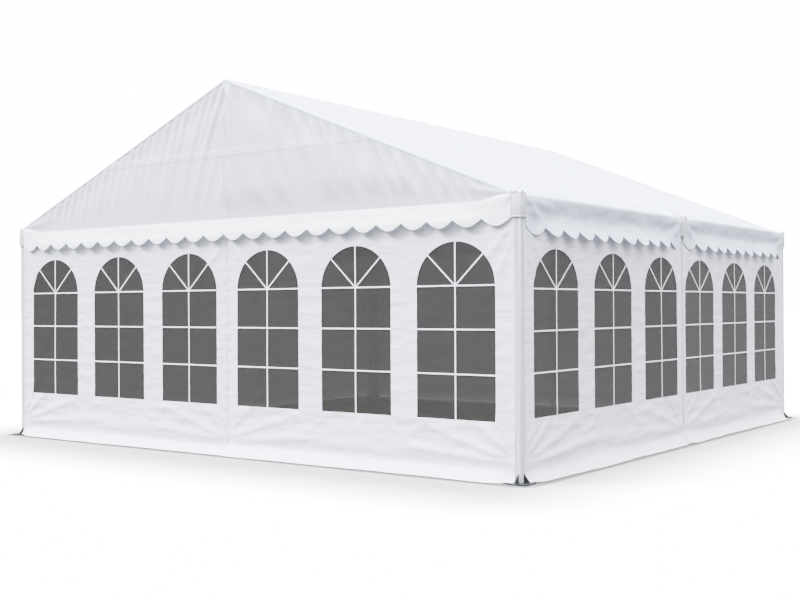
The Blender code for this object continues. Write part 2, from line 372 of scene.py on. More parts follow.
def lay_cloth(name: str, across: np.ndarray, up: np.ndarray) -> bpy.types.Object:
    """Lays a flat cut of cloth on the table, with its threads along the given lines.

    Its map holds the flat places in metres, for patterns that follow the cloth.

    Args:
        name: The piece's name.
        across: Places of the lines across.
        up: Places of the lines up.

    Returns:
        The flat cloth, in the XY plane.
    """
    clear_selection()
    bpy.ops.mesh.primitive_grid_add(x_subdivisions=len(across) - 1, y_subdivisions=len(up) - 1, size=1.0)
    cloth = bpy.context.object
    cloth.name = name
    cloth.data.name = name
    places = np.zeros((len(up) * len(across), 3))
    places[:, 0] = np.tile(across, len(up))
    places[:, 1] = np.repeat(up, len(across))
    lay_flat(cloth, places)
    return cloth


def face_middles(piece: bpy.types.Object) -> np.ndarray:
    """The middles of a piece's faces, one row each."""
    middles = np.zeros(len(piece.data.polygons) * 3)
    piece.data.polygons.foreach_get("center", middles)
    return middles.reshape(-1, 3)


def cut_away(cloth: bpy.types.Object, outside: np.ndarray) -> None:
    """Cuts faces out of a flat cloth.

    Args:
        cloth: The cloth.
        outside: For each of its faces, whether it goes.
    """
    cloth.data.polygons.foreach_set("select", outside)
    with editing(cloth):
        bpy.ops.mesh.select_mode(type="FACE")
        bpy.ops.mesh.delete(type="FACE")


def rim_vertices(piece: bpy.types.Object) -> np.ndarray:
    """For each vertex of a sheet, whether it lies on an edge with one face."""
    edges_of_loops = np.zeros(len(piece.data.loops), int)
    piece.data.loops.foreach_get("edge_index", edges_of_loops)
    uses = np.bincount(edges_of_loops, minlength=len(piece.data.edges))
    ends = np.zeros(len(piece.data.edges) * 2, int)
    piece.data.edges.foreach_get("vertices", ends)
    on_rim = np.zeros(len(piece.data.vertices), bool)
    on_rim[ends.reshape(-1, 2)[uses == 1].ravel()] = True
    return on_rim


def hang(cloth: bpy.types.Object, rule: HangRule, thick: float, turned: bool = False) -> None:
    """Hangs a flat cloth by a rule and gives it its thickness, inwards from its face.

    Args:
        cloth: The flat cloth.
        rule: Gives the place of each point of the cut.
        thick: Thickness of the cloth.
        turned: Whether the rule turns the cloth's face inwards, so that it has to be flipped.
    """
    flat = vertex_places(cloth)
    move_vertices(cloth, rule(flat[:, 0], flat[:, 1]))
    if turned:
        with editing(cloth):
            bpy.ops.mesh.select_all(action="SELECT")
            bpy.ops.mesh.flip_normals()
    shell = cloth.modifiers.new("thickness", "SOLIDIFY")
    shell.thickness = thick
    shell.offset = -1.0
    shade_smooth(apply_modifiers(cloth), 50.0)


def flat_area(cloth: bpy.types.Object) -> float:
    """Area of a cut that still lies flat on the table."""
    areas = np.zeros(len(cloth.data.polygons))
    cloth.data.polygons.foreach_get("area", areas)
    return float(areas.sum())


@dataclass(frozen=True)
class TentSizes:
    """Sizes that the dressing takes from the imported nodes, in metres."""

    half_span: float
    half_post: float
    half_cap: float
    wall_face: float
    wall_top_gable: float
    wall_top_side: float
    gable_face: float
    eave_out: float
    ridge_top: float
    roof_end: float
    eave_edge: float = 2.14

    @classmethod
    def from_frame(cls) -> "TentSizes":
        """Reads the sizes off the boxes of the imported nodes."""
        post_low, post_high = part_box("post_front_right")
        cap_low, cap_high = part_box("eave_bracket_front_right")
        wall_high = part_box("wall_right_front_bay")[1]
        front_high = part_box("wall_front_right_half")[1]
        roof_low, roof_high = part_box("roof_sheet_front")
        return cls(
            half_span=(post_low.x + post_high.x) / 2.0,
            half_post=(post_high.x - post_low.x) / 2.0,
            half_cap=(cap_high.x - cap_low.x) / 2.0,
            wall_face=wall_high.x,
            wall_top_gable=front_high.z,
            wall_top_side=wall_high.z,
            gable_face=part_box("gable_sheet_rear")[1].y,
            eave_out=roof_high.x,
            ridge_top=roof_high.z,
            roof_end=-roof_low.y,
        )

    @property
    def slope(self) -> float:
        """Angle of the roof's slope in radians."""
        return math.atan2(self.ridge_top - self.eave_edge, self.eave_out)

    def roof_height(self, across: np.ndarray) -> np.ndarray:
        """Height of the roof's outer face at places across the tent."""
        return self.ridge_top - np.abs(across) * math.tan(self.slope)


def add_node(
    tree: bpy.types.NodeTree, kind: str, inputs: dict[str | int, object] | None = None, **settings: object
) -> bpy.types.Node:
    """Adds a shader node.

    Args:
        tree: Where it goes.
        kind: Its type, without the ShaderNode in front.
        inputs: For each input its value, or the output that is linked to it.
        settings: Its own settings, by name.

    Returns:
        The node.
    """
    node = tree.nodes.new(f"ShaderNode{kind}")
    for name, value in settings.items():
        setattr(node, name, value)
    for socket, value in (inputs or {}).items():
        if isinstance(value, bpy.types.NodeSocket):
            tree.links.new(value, node.inputs[socket])
        else:
            node.inputs[socket].default_value = value
    return node


class Shader:
    """A material under construction, with short words for the nodes that the finishes share."""

    def __init__(self, name: str) -> None:
        """Starts a material with one Principled shader.

        Args:
            name: The material's name.
        """
        self.material = bpy.data.materials.new(name)
        self.material.use_nodes = True
        self.tree = self.material.node_tree
        self.principled = self.tree.nodes["Principled BSDF"]
        self.place = add_node(self.tree, "TexCoord").outputs

    def set(self, socket: str, value: object) -> None:
        """Sets a value on the Principled shader's own socket."""
        self.principled.inputs[socket].default_value = value

    def link(self, output: bpy.types.NodeSocket, socket: str) -> None:
        """Links an output to a socket of the Principled shader."""
        self.tree.links.new(output, self.principled.inputs[socket])

    def mapped(self, source: str, scale: Sequence[float]) -> bpy.types.NodeSocket:
        """Scales a coordinate.

        Args:
            source: Name of the coordinate, such as Object or UV.
            scale: Factor for each axis.

        Returns:
            The scaled coordinate.
        """
        inputs = {"Scale": scale, "Vector": self.place[source]}
        return add_node(self.tree, "Mapping", inputs).outputs["Vector"]

    def noise(
        self, coordinate: bpy.types.NodeSocket, scale: float, detail: float = 2.0, roughness: float = 0.5
    ) -> bpy.types.NodeSocket:
        """Adds a noise texture and returns its factor.

        Args:
            coordinate: What it is read on.
            scale: Number of features in a unit of the coordinate.
            detail: Octaves of finer noise.
            roughness: Strength of the finer noise.

        Returns:
            The factor, from 0 to 1.
        """
        inputs = {"Scale": scale, "Detail": detail, "Roughness": roughness, "Vector": coordinate}
        return add_node(self.tree, "TexNoise", inputs).outputs["Fac"]

    def between(
        self, factor: bpy.types.NodeSocket, low: Sequence[float], high: Sequence[float],
        start: float = 0.0, stop: float = 1.0,
    ) -> bpy.types.NodeSocket:
        """Runs from one colour to another along a factor.

        Args:
            factor: What drives the change.
            low: Colour where the factor is at start or below.
            high: Colour where it is at stop or above.
            start: Where the change begins.
            stop: Where it ends.

        Returns:
            The colour.
        """
        ramp = add_node(self.tree, "ValToRGB", {"Fac": factor})
        ramp.color_ramp.elements[0].position = start
        ramp.color_ramp.elements[0].color = (*low, 1.0)
        ramp.color_ramp.elements[1].position = stop
        ramp.color_ramp.elements[1].color = (*high, 1.0)
        return ramp.outputs["Color"]

    def ranged(self, factor: bpy.types.NodeSocket, low: float, high: float) -> bpy.types.NodeSocket:
        """Maps a factor from 0..1 to low..high."""
        inputs = {"To Min": low, "To Max": high, "Value": factor}
        return add_node(self.tree, "MapRange", inputs).outputs["Result"]

    def multiply(self, first: bpy.types.NodeSocket, second: bpy.types.NodeSocket) -> bpy.types.NodeSocket:
        """Multiplies one colour by another."""
        inputs = {"Factor": 1.0, 6: first, 7: second}
        return add_node(self.tree, "Mix", inputs, data_type="RGBA", blend_type="MULTIPLY").outputs[2]

    def strip(self, start: float, stop: float, share: float) -> bpy.types.NodeSocket:
        """Paints shade into a strip of the cut, on both sides of the line where its map is 0.

        Args:
            start: Distance down the cut where the strip starts.
            stop: Distance where it has faded out.
            share: Brightness that is left in it.

        Returns:
            The factor for the colour.
        """
        split = add_node(self.tree, "SeparateXYZ", {"Vector": self.place["UV"]})
        size = add_node(self.tree, "Math", {0: split.outputs["Y"]}, operation="ABSOLUTE")
        inputs = {"From Min": start, "From Max": stop, "Value": size.outputs["Value"]}
        down = add_node(self.tree, "MapRange", inputs)
        factor = self.between(down.outputs["Result"], WHITE, WHITE)
        darkest_from, darkest_to = 0.06, 0.55
        for position in (darkest_from, darkest_to):
            factor.node.color_ramp.elements.new(position).color = (share, share, share, 1.0)
        return factor

    def bump(self, steps: Sequence[tuple[bpy.types.NodeSocket, float, float]]) -> None:
        """Chains bumps into the shader's normal.

        Args:
            steps: For each bump its height map, its strength and its depth in metres.
        """
        normal = None
        for heights, strength, depth in steps:
            inputs = {"Strength": strength, "Distance": depth, "Height": heights}
            if normal is not None:
                inputs["Normal"] = normal
            normal = add_node(self.tree, "Bump", inputs).outputs["Normal"]
        self.link(normal, "Normal")


@dataclass(frozen=True)
class CoatedCloth:
    """PVC-coated polyester, slightly patchy, with its handling creases, and where given a strip of painted
    shade.
    """

    name: str
    slot: str
    colour: tuple[float, float, float]
    roughness: float = 0.46
    crease: float = 0.5
    stretch: tuple[float, float, float] = (1.0, 2.6, 1.0)
    patchy: float = 0.965
    # Where a strip of the cut gets painted shade: its start, its stop and the brightness left in it.
    painted_shade_strip: tuple[float, float, float] | None = None

    def material(self) -> bpy.types.Material:
        """Builds the finish and returns its material."""
        shader = Shader(self.name)
        shader.set("Specular IOR Level", 0.35)
        shader.set("Sheen Weight", 0.04)
        cloth_place = shader.place["UV"]
        clouds = shader.noise(shader.mapped("UV", self.stretch), 0.9, 3.0)
        dim = tuple(channel * self.patchy for channel in self.colour)
        colour = shader.between(clouds, dim, self.colour, 0.3, 0.7)
        # Painted shade: the strip is darkened in the colour itself.
        if self.painted_shade_strip is not None:
            colour = shader.multiply(colour, shader.strip(*self.painted_shade_strip))
        shader.link(colour, "Base Color")
        patches = shader.noise(cloth_place, 6.0, 4.0)
        shader.link(shader.ranged(patches, self.roughness - 0.07, self.roughness + 0.07), "Roughness")
        creases = shader.noise(shader.mapped("UV", self.stretch), 5.5, 5.0, 0.55)
        fine = shader.noise(cloth_place, 42.0, 3.0, 0.6)
        shader.bump([(creases, self.crease, 0.012), (fine, 0.20, 0.0012)])
        return shader.material


@dataclass(frozen=True)
class ClearFilm:
    """Smoke-grey window film, slightly wavy where it was rolled."""

    name: str = "window_film"
    slot: str = "window_film"
    colour: tuple[float, float, float] = (0.0312, 0.0285, 0.0252)
    alpha: float = 0.70
    roughness: float = 0.16

    def material(self) -> bpy.types.Material:
        """Builds the finish and returns its material."""
        shader = Shader(self.name)
        shader.set("Base Color", (*self.colour, 1.0))
        shader.set("Alpha", self.alpha)
        shader.set("Specular IOR Level", 0.5)
        shader.set("IOR", 1.5)
        smears = shader.noise(shader.mapped("UV", (1.0, 0.35, 1.0)), 7.0, 4.0)
        shader.link(shader.ranged(smears, self.roughness - 0.06, self.roughness + 0.10), "Roughness")
        rolled = shader.noise(shader.mapped("UV", (0.6, 2.4, 1.0)), 3.2, 2.0)
        shader.bump([(rolled, 0.35, 0.02)])
        return shader.material


@dataclass(frozen=True)
class Metal:
    """Drawn or dipped metal, with grain along the piece and fine scratches."""

    name: str
    slot: str
    colour: tuple[float, float, float]
    roughness: float
    metallic: float
    grain: tuple[float, float, float] = (60.0, 60.0, 1.2)
    spangle: float = 0.0
    flake_scale: float = 90.0

    def material(self) -> bpy.types.Material:
        """Builds the finish and returns its material."""
        shader = Shader(self.name)
        shader.set("Metallic", self.metallic)
        drawn = shader.noise(shader.mapped("Object", self.grain), 4.0, 3.0)
        dim = tuple(channel * 0.88 for channel in self.colour)
        colour = shader.between(drawn, dim, self.colour, 0.3, 0.7)
        if self.spangle:
            inputs = {"Scale": self.flake_scale, "Vector": shader.place["Object"]}
            flakes = add_node(shader.tree, "TexVoronoi", inputs)
            shade = (1.0 - self.spangle,) * 3
            patch = shader.between(flakes.outputs["Distance"], shade, WHITE, 0.1, 0.6)
            colour = shader.multiply(colour, patch)
        shader.link(colour, "Base Color")
        shader.link(shader.ranged(drawn, self.roughness - 0.08, self.roughness + 0.10), "Roughness")
        pits = shader.noise(shader.place["Object"], 160.0, 2.0)
        shader.bump([(drawn, 0.15, 0.0006), (pits, 0.12, 0.0005)])
        return shader.material


class Finishes:
    """All finishes of the tent, each made once."""

    def __init__(self, sizes: TentSizes) -> None:
        """Makes the materials.

        Args:
            sizes: Sizes of the tent, for the strip of painted shade under the eaves.
        """
        eave = sizes.eave_out / math.cos(sizes.slope)
        kinds = (
            # The roof's strip of painted shade darkens the valance's top band under the eave's edge.
            CoatedCloth(
                "roof_pvc", "roof_pvc", (0.69, 0.775, 0.94), 0.42, 0.8, (2.6, 0.5, 1.0),
                patchy=0.86, painted_shade_strip=(eave, eave + 0.15, 0.77),
            ),
            CoatedCloth("gable_pvc", "gable_pvc", (0.585, 0.60, 0.685), 0.5, 0.40, (1.8, 0.8, 1.0)),
            CoatedCloth("valance_pvc", "gable_pvc", (0.90, 0.945, 1.0), 0.45, 0.12),
            CoatedCloth("lap_pvc", "gable_pvc", (0.64, 0.655, 0.74), 0.45, 0.30),
            CoatedCloth("wall_pvc", "wall_pvc", (0.718, 0.722, 0.80), 0.48, 1.0),
            CoatedCloth("bar_pvc", "wall_pvc", (0.80, 0.81, 0.82), 0.4, 0.1),
            ClearFilm(),
            # Painted reflection: the right wall's films are lighter copies of the window film, standing in
            # for the sky they reflect at a slant.
            ClearFilm("side_film", colour=(0.0490, 0.0465, 0.0425)),
            ClearFilm("far_film", colour=(0.062, 0.0595, 0.0555)),
            Metal("aluminium", "aluminium", (0.74, 0.75, 0.77), 0.36, 0.85),
            Metal("galvanised_steel", "galvanised_steel", (0.020, 0.021, 0.022), 0.45, 0.5, spangle=0.6),
            Metal("bracket_enamel", "bracket_enamel", (0.60, 0.605, 0.63), 0.4, 0.1),
            # The posts' aluminium, darker than the frame's: partly its own finish and partly painted shade
            # of the slot between the wall beads.
            Metal("post_aluminium", "aluminium", (0.62, 0.63, 0.66), 0.42, 0.25),
            Metal("dark_steel", "galvanised_steel", (0.012, 0.012, 0.013), 0.55, 0.1),
        )
        self.kinds = {kind.name: kind for kind in kinds}
        self.materials = {kind.name: kind.material() for kind in kinds}

    def paint(self, piece: bpy.types.Object, finish: str) -> None:
        """Gives a piece a finish."""
        piece.data.materials.clear()
        piece.data.materials.append(self.materials[finish])


@dataclass
class Workshop:
    """What every sub-assembly needs: the sizes, the finishes and a way to hand a piece over."""

    sizes: TentSizes
    finishes: Finishes
    made: list[str] = field(default_factory=list)

    def hand_over(self, piece: bpy.types.Object, finish: str, *nodes: str) -> None:
        """Paints a finished piece, puts it on the tent and reports it.

        Args:
            piece: The piece, in its place.
            finish: Name of its finish.
            nodes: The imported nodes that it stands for.
        """
        self.finishes.paint(piece, finish)
        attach(piece, BODY)
        if nodes:
            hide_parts(*nodes)
        self.made.append(piece.name)
        LOG.info("%s: %d faces, %s", piece.name, len(piece.data.polygons), finish)


@dataclass(frozen=True)
class ArchedWindow:
    """One arched window in the flat cut of a wall panel."""

    centre: float
    low: float
    high: float
    rise: float
    wide: float = 0.725

    @property
    def half_wide(self) -> float:
        """Half the window's width."""
        return self.wide / 2.0

    @property
    def spring(self) -> float:
        """Height at which the arch starts."""
        return self.high - self.rise

    def arch_share(self, across: np.ndarray, up: np.ndarray) -> np.ndarray:
        """How far points lie from the middle of the arch's foot; it is 1 on the arch."""
        return np.hypot((across - self.centre) / self.half_wide, (up - self.spring) / self.rise)

    def holds(self, across: np.ndarray, up: np.ndarray) -> np.ndarray:
        """Whether points of the cut lie in the window."""
        aside = np.abs(across - self.centre)
        square = (aside < self.half_wide) & (up > self.low) & (up <= self.spring)
        round_top = (up > self.spring) & (self.arch_share(across, up) < 1.0)
        return square | round_top

    def round_off(self, across: np.ndarray, up: np.ndarray, on_rim: np.ndarray, reach: float) -> Spread:
        """Moves the stepped edge that the cut left onto the arch.

        Args:
            across: Places of the cut's vertices across.
            up: Their places up.
            on_rim: Whether each one is on an edge of the cloth.
            reach: How far from the arch an edge may be.

        Returns:
            The places after the move.
        """
        above = up - self.spring
        far = self.arch_share(across, up)
        near = on_rim & (above > 1e-6) & (np.abs(far - 1.0) * self.rise < reach)
        share = np.where(near, 1.0 / np.maximum(far, 1e-6), 1.0)
        return self.centre + (across - self.centre) * share, self.spring + above * share


@dataclass(frozen=True)
class WindowRow:
    """The three windows of one panel: their heights, bars, places and film."""

    low: float
    high: float
    rise: float
    bar_heights: tuple[float, float, float]
    middle: float = 1.47
    pitch: float = 0.98
    film: str = "window_film"

    @property
    def windows(self) -> list[ArchedWindow]:
        """The windows, with their centres given from the wall's middle."""
        centres = [self.middle + number * self.pitch for number in (-1, 0, 1)]
        return [ArchedWindow(centre, self.low, self.high, self.rise) for centre in centres]


FRONT_ROW = WindowRow(0.449, 1.82, 0.341, (0.798, 1.142, 1.479))
# The right wall's rows take the lighter films with painted reflection.
SIDE_FRONT_ROW = WindowRow(0.472, 1.760, 0.310, (0.811, 1.129, 1.450), 1.48, 1.0, "side_film")
SIDE_REAR_ROW = replace(SIDE_FRONT_ROW, middle=1.40, pitch=0.955, film="far_film")
WINDOW_ROWS = {
    (Wall.FRONT, -1): FRONT_ROW,
    (Wall.FRONT, 1): FRONT_ROW,
    (Wall.RIGHT, -1): SIDE_FRONT_ROW,
    (Wall.RIGHT, 1): SIDE_REAR_ROW,
}


@dataclass
class WallPanel:
    """One hung wall panel, with its hems, its skirt and its tension folds, and the windows in it."""

    shop: Workshop
    wall: Wall
    hand: int
    seed: int
    step: float = 0.018
    thick: float = 0.0018
    lap: float = 0.010
    seam_lap: float = 0.012
    hem: float = 0.034
    bead: float = 0.008
    lowest: float = 0.008
    over_plate: float = 0.0135
    inward_most: float = 0.0020
    covered_above: float = 1.85
    half_seam: float = 0.0034
    slack_high: float = 0.185
    slack_out: float = 0.010
    skirt_high: float = 0.13
    skirt_out: float = 0.100
    skirt_least_gable: float = 0.35
    skirt_least_side: float = 0.48
    skirt_least_rear: float = 0.10
    skirt_wave: float = 0.009
    slack_wide: float = 0.055
    hem_rise: float = 0.0022
    ripple: float = 0.0034
    plain_step: float = 0.030
    plain_lowest: float = 0.003
    plain_ripple: float = 0.0016
    billow: float = 0.010
    pucker: float = 0.0030
    film_step: float = 0.028
    film_behind: float = 0.0026
    film_thick: float = 0.0006
    weld: float = 0.02
    bar_step: float = 0.022
    bar_wide: float = 0.0114
    bar_thick: float = 0.0010
    bar_behind: float = 0.0006
    bar_over: float = 0.0002

    def __post_init__(self) -> None:
        """Takes the windows that belong to the panel's place, and lays a plain panel more coarsely."""
        self.row = WINDOW_ROWS.get((self.wall, self.hand))
        self.windows = [] if self.row is None else self.row.windows
        if self.row is None:
            self.step = self.plain_step
            self.lowest = self.plain_lowest
            self.ripple = self.plain_ripple

    @property
    def node(self) -> str:
        """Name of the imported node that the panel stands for."""
        middle = self.wall.along * self.hand
        if self.wall.is_gable:
            return f"wall_{self.wall.name.lower()}_{'left' if middle.x < 0 else 'right'}_half"
        return f"wall_{self.wall.name.lower()}_{'front' if middle.y < 0 else 'rear'}_bay"

    @property
    def label(self) -> str:
        """The part of the node's name that says where the panel is."""
        return self.node.removeprefix("wall_")

    @property
    def top(self) -> float:
        """Height of the panel's upper edge."""
        sizes = self.shop.sizes
        return sizes.wall_top_gable if self.wall.is_gable else sizes.wall_top_side

    @property
    def inner_end(self) -> float:
        """Distance of the panel's inner end from the wall's middle: a seam or the middle post."""
        if self.wall.is_gable:
            return -self.seam_lap if self.hand > 0 else 0.0
        return self.shop.sizes.half_post - self.lap

    @property
    def outer_end(self) -> float:
        """Distance of the panel's outer end from the wall's middle."""
        return self.shop.sizes.half_span - self.shop.sizes.half_post + self.lap

    def folds(self) -> list[Fold]:
        """The pulls in the panel: from the windows to the feet, and from the caps inwards."""
        near, far = self.inner_end, self.outer_end
        chance = np.random.default_rng(self.seed)
        middle = (near + far) / 2.0
        found = [
            Fold((far - 0.03, 0.17), (middle + 0.45, 0.46), 0.020, 0.013, 1.6),
            Fold((far - 0.03, 0.21), (far - 0.50, 0.54), 0.016, 0.011, 1.4),
            Fold((far - 0.03, 0.27), (far - 0.30, 0.66), 0.014, 0.008, 1.2),
            Fold((far - 0.05, 0.14), (middle + 0.0, 0.27), 0.018, 0.011, 1.4),
            Fold((near + 0.05, 0.17), (middle - 0.50, 0.44), 0.020, 0.011, 1.6),
            Fold((near + 0.04, 0.23), (near + 0.44, 0.54), 0.016, 0.009, 1.4),
            Fold((near + 0.05, 0.13), (middle - 0.10, 0.25), 0.018, 0.009, 1.4),
            Fold((far - 0.02, 1.93), (far - 0.34, 1.58), 0.014, 0.008, 1.6),
            Fold((far - 0.02, 1.80), (far - 0.22, 1.42), 0.012, 0.006, 1.6),
            Fold((near + 0.03, 1.93), (near + 0.30, 1.60), 0.014, 0.007, 1.6),
        ]
        for window in self.windows:
            tilt = chance.uniform(-0.05, 0.05)
            for side in (-1, 1):
                corner = window.centre + side * window.half_wide
                end = (corner + side * (0.26 + tilt), 0.17 + chance.uniform(0.0, 0.05))
                found.append(Fold((corner - side * 0.12, window.low - 0.015), end, 0.022, 0.0055, 1.2))
            below = (window.centre + tilt, window.low - 0.02)
            found.append(Fold(below, (below[0] + 2.0 * tilt, 0.20), 0.025, 0.005, 1.0))
        return found

    def lift(self, inward: np.ndarray, up: np.ndarray) -> np.ndarray:
        """How far the panel stands out of its plane.

        Args:
            inward: Distance from the wall's middle, towards the panel's outer end.
            up: Height in the cut.

        Returns:
            The distance outwards.
        """
        near, far = self.inner_end, self.outer_end
        from_outer = far - inward
        from_inner = inward - near
        edge = np.minimum(from_outer, from_inner)
        slack = smooth_step(0.0, 0.22, edge) * smooth_step(self.top - 0.05, self.top - 0.30, up)
        billow = 0.5 + 0.5 * Ripple(self.seed, (0.85, 0.75))(inward, up)
        out = self.billow * slack * billow
        for fold in self.folds():
            out = out + fold.lift(inward, up) * smooth_step(0.0, 0.03, edge + 0.01)
        pleats = Ripple(self.seed + 1, (0.30, 0.055))(inward, up)
        short = Ripple(self.seed + 2, (0.16, 0.034))(inward, up)
        calm = smooth_step(-0.05, 0.02, self.depth_in_window(inward, up))
        out = out + slack * self.ripple * (1.0 - 0.9 * calm) * (pleats + 0.6 * short)
        puckers = Ripple(self.seed + 3, (0.12, 0.030))(inward, up)
        out = out + self.pucker * smooth_step(0.16, 0.03, edge) * smooth_step(0.0, 0.02, edge) * puckers
        out = np.maximum(out, -self.inward_most)
        if not self.wall.is_gable:
            covered = smooth_step(self.covered_above, self.covered_above + 0.03, up)
            out = out - covered * smooth_step(0.20, 0.14, edge) * np.maximum(out, 0.0)
        return out + self.edge_shape(from_outer, from_inner) + self.skirt(inward, up)

    def depth_in_window(self, inward: np.ndarray, up: np.ndarray) -> np.ndarray:
        """How deep inside the nearest window a point lies; below 0 it lies outside."""
        depth = np.full(np.shape(inward), -1.0)
        for window in self.windows:
            aside = window.half_wide - np.abs(inward - window.centre)
            depth = np.maximum(depth, np.minimum(aside, np.minimum(up - window.low, window.high - up)))
        return depth

    def edge_shape(self, from_outer: np.ndarray, from_inner: np.ndarray) -> np.ndarray:
        """Lift of the hems, and of the beads that run in the posts' grooves."""
        out = np.zeros(np.shape(from_outer))
        ends = [from_outer] if self.wall.is_gable else [from_outer, from_inner]
        for distance in ends:
            out = out + self.hem_rise * smooth_step(self.hem + 0.004, self.hem - 0.002, distance)
            over = np.clip(1.0 - ((distance - self.bead / 2.0) / (self.bead / 2.0)) ** 2, 0.0, 1.0)
            out = out + self.bead / 2.0 * np.sqrt(over)
        if self.wall.is_gable and self.hand > 0:
            out = out + self.thick * 1.3 * smooth_step(0.03, 0.015, from_inner)
        return out

    def skirt(self, inward: np.ndarray, up: np.ndarray) -> np.ndarray:
        """How far the lowest strip of the panel sweeps out over the ground."""
        wander = Ripple(self.seed + 4, (0.9, 5.0))(inward, up * 0.0)
        free = smooth_step(self.outer_end + 0.01, self.outer_end - 0.20, inward)
        high = self.skirt_high * (0.92 + 0.18 * wander) * (0.60 + 0.40 * free)
        least = self.skirt_least_gable if self.wall.is_gable else self.skirt_least_side
        if self.wall.along[1] * self.hand > 0.0:
            least = self.skirt_least_rear
        out = self.skirt_out * (least + (1.0 - least) * free) * (0.96 + 0.10 * wander)
        share = np.clip((high - up) / high, 0.0, 1.0)
        waves = self.skirt_wave * Ripple(self.seed + 5, (0.24, 5.0))(inward, up * 0.0) * share
        middle = self.slack_high + 0.03 * wander
        held = smooth_step(self.outer_end + 0.01, self.outer_end - 0.30, inward)
        slack = self.slack_out * held * np.exp(-(((up - middle) / self.slack_wide) ** 2))
        return (out + waves) * share**1.8 + slack

    def place(self, inward: np.ndarray, up: np.ndarray, proud: float = 0.0) -> np.ndarray:
        """Places points of the cut in the tent.

        Args:
            inward: Distance from the wall's middle, towards the panel's outer end.
            up: Height in the cut.
            proud: Distance in front of the panel's outer face.

        Returns:
            The places, one row each.
        """
        run = np.maximum(inward, self.half_seam)
        if not self.wall.is_gable:
            closing = smooth_step(0.30, 0.10, up) * np.exp(-np.maximum(inward - self.inner_end, 0.0) / 0.10)
            run = run - (self.inner_end - 0.003) * closing
        plate = np.maximum(
            smooth_step(self.outer_end - 0.09, self.outer_end - 0.06, inward),
            0.0 if self.wall.is_gable else smooth_step(self.inner_end + 0.09, self.inner_end + 0.06, inward),
        )
        rise = np.maximum(up, self.lowest + (self.over_plate - self.lowest) * plate)
        out = self.shop.sizes.wall_face + self.lift(inward, up) + proud
        return self.wall.spots(run * self.hand, out, rise)

    def build(self) -> None:
        """Cuts, hangs and hands over the panel, and its windows if it has any."""
        marks = [self.outer_end - self.hem - 0.004, self.outer_end - self.hem + 0.002]
        marks += [self.outer_end - self.bead * share for share in (0.0, 0.15, 0.5, 0.85, 1.0)]
        if not self.wall.is_gable:
            marks += [self.inner_end + self.hem + 0.004, self.inner_end + self.hem - 0.002]
            marks += [self.inner_end + self.bead * share for share in (0.15, 0.5, 0.85, 1.0)]
        heights = [self.skirt_high]
        for window in self.windows:
            marks += [window.centre - window.half_wide, window.centre, window.centre + window.half_wide]
            heights += [window.low, window.spring, window.high]
        columns = cloth_lines(self.inner_end, self.outer_end, self.step, marks)
        rows = cloth_lines(0.0, self.top, self.step, heights)
        if self.hand < 0:
            columns = columns[::-1]
        panel = lay_cloth(f"panel_{self.label}", columns, rows)
        middles = face_middles(panel)
        inside = np.zeros(len(middles), bool)
        for window in self.windows:
            inside |= window.holds(middles[:, 0], middles[:, 1])
        if self.windows:
            cut_away(panel, inside)
            flat = vertex_places(panel)
            on_rim = rim_vertices(panel)
            for window in self.windows:
                flat[:, 0], flat[:, 1] = window.round_off(flat[:, 0], flat[:, 1], on_rim, self.step * 1.5)
            move_vertices(panel, flat)
        area = flat_area(panel)
        hang(panel, self.place, self.thick)
        self.shop.hand_over(panel, "wall_pvc", self.node)
        if self.windows:
            self.build_films()
            self.build_bars()

    def build_films(self) -> None:
        """The clear film behind each window, welded to the back of the panel."""
        film_node = self.node.replace("wall", "window_film")
        for number, window in enumerate(self.windows, start=1):
            reach = window.half_wide + self.weld
            columns = cloth_lines(window.centre - reach, window.centre + reach, self.film_step)
            if self.hand < 0:
                columns = columns[::-1]
            rows = cloth_lines(window.low - self.weld, window.high + self.weld, self.film_step)
            film = lay_cloth(f"film_{self.label}_{number}", columns, rows)

            def behind(inward: np.ndarray, up: np.ndarray) -> np.ndarray:
                """Hangs the film just behind the panel."""
                return self.place(inward, up, -self.thick - self.film_behind)

            hang(film, behind, self.film_thick)
            self.shop.hand_over(film, self.row.film, film_node)

    def build_bars(self) -> None:
        """The white bars on each window's film, in one piece a panel."""
        strips = []
        for window in self.windows:
            half = self.bar_wide / 2.0
            aside = window.half_wide
            centre = window.centre
            hub = self.row.bar_heights[-1]
            strips.append(self.strip((centre, window.low), (centre, window.high + 0.004), half))
            for level in self.row.bar_heights:
                strips.append(self.strip((centre - aside, level), (centre + aside, level), half))
            for side in (-1.0, 1.0):
                end = (centre + side * aside * math.sqrt(0.5), window.spring + window.rise * math.sqrt(0.5))
                strips.append(self.strip((centre, hub), end, half * 0.9))
        bars = join(strips, f"bars_{self.label}")
        flat = vertex_places(bars)
        levels = flat[:, 2].copy()

        def on_film(inward: np.ndarray, up: np.ndarray) -> np.ndarray:
            """Lays the bars on the film, the later ones over the earlier."""
            return self.place(inward, up) - np.outer(self.bar_behind - levels, np.array(self.wall.outward))

        hang(bars, on_film, self.bar_thick, turned=self.hand < 0)
        self.shop.hand_over(bars, "bar_pvc")

    def strip(self, start: Sequence[float], end: Sequence[float], half: float) -> bpy.types.Object:
        """Lays one bar flat on the cut.

        Args:
            start: Where its middle line starts.
            end: Where it ends.
            half: Half its width.

        Returns:
            The flat bar.
        """
        run = Vector((end[0] - start[0], end[1] - start[1], 0.0))
        lines = cloth_lines(0.0, run.length, self.bar_step)
        bar = lay_cloth("bar", lines, np.array([-half, half]))
        bar.rotation_euler = (0.0, 0.0, math.atan2(run.y, run.x))
        level = self.bar_over if abs(run.x) < abs(run.y) else 0.0
        bar.location = (start[0], start[1], level)
        return settle(bar)


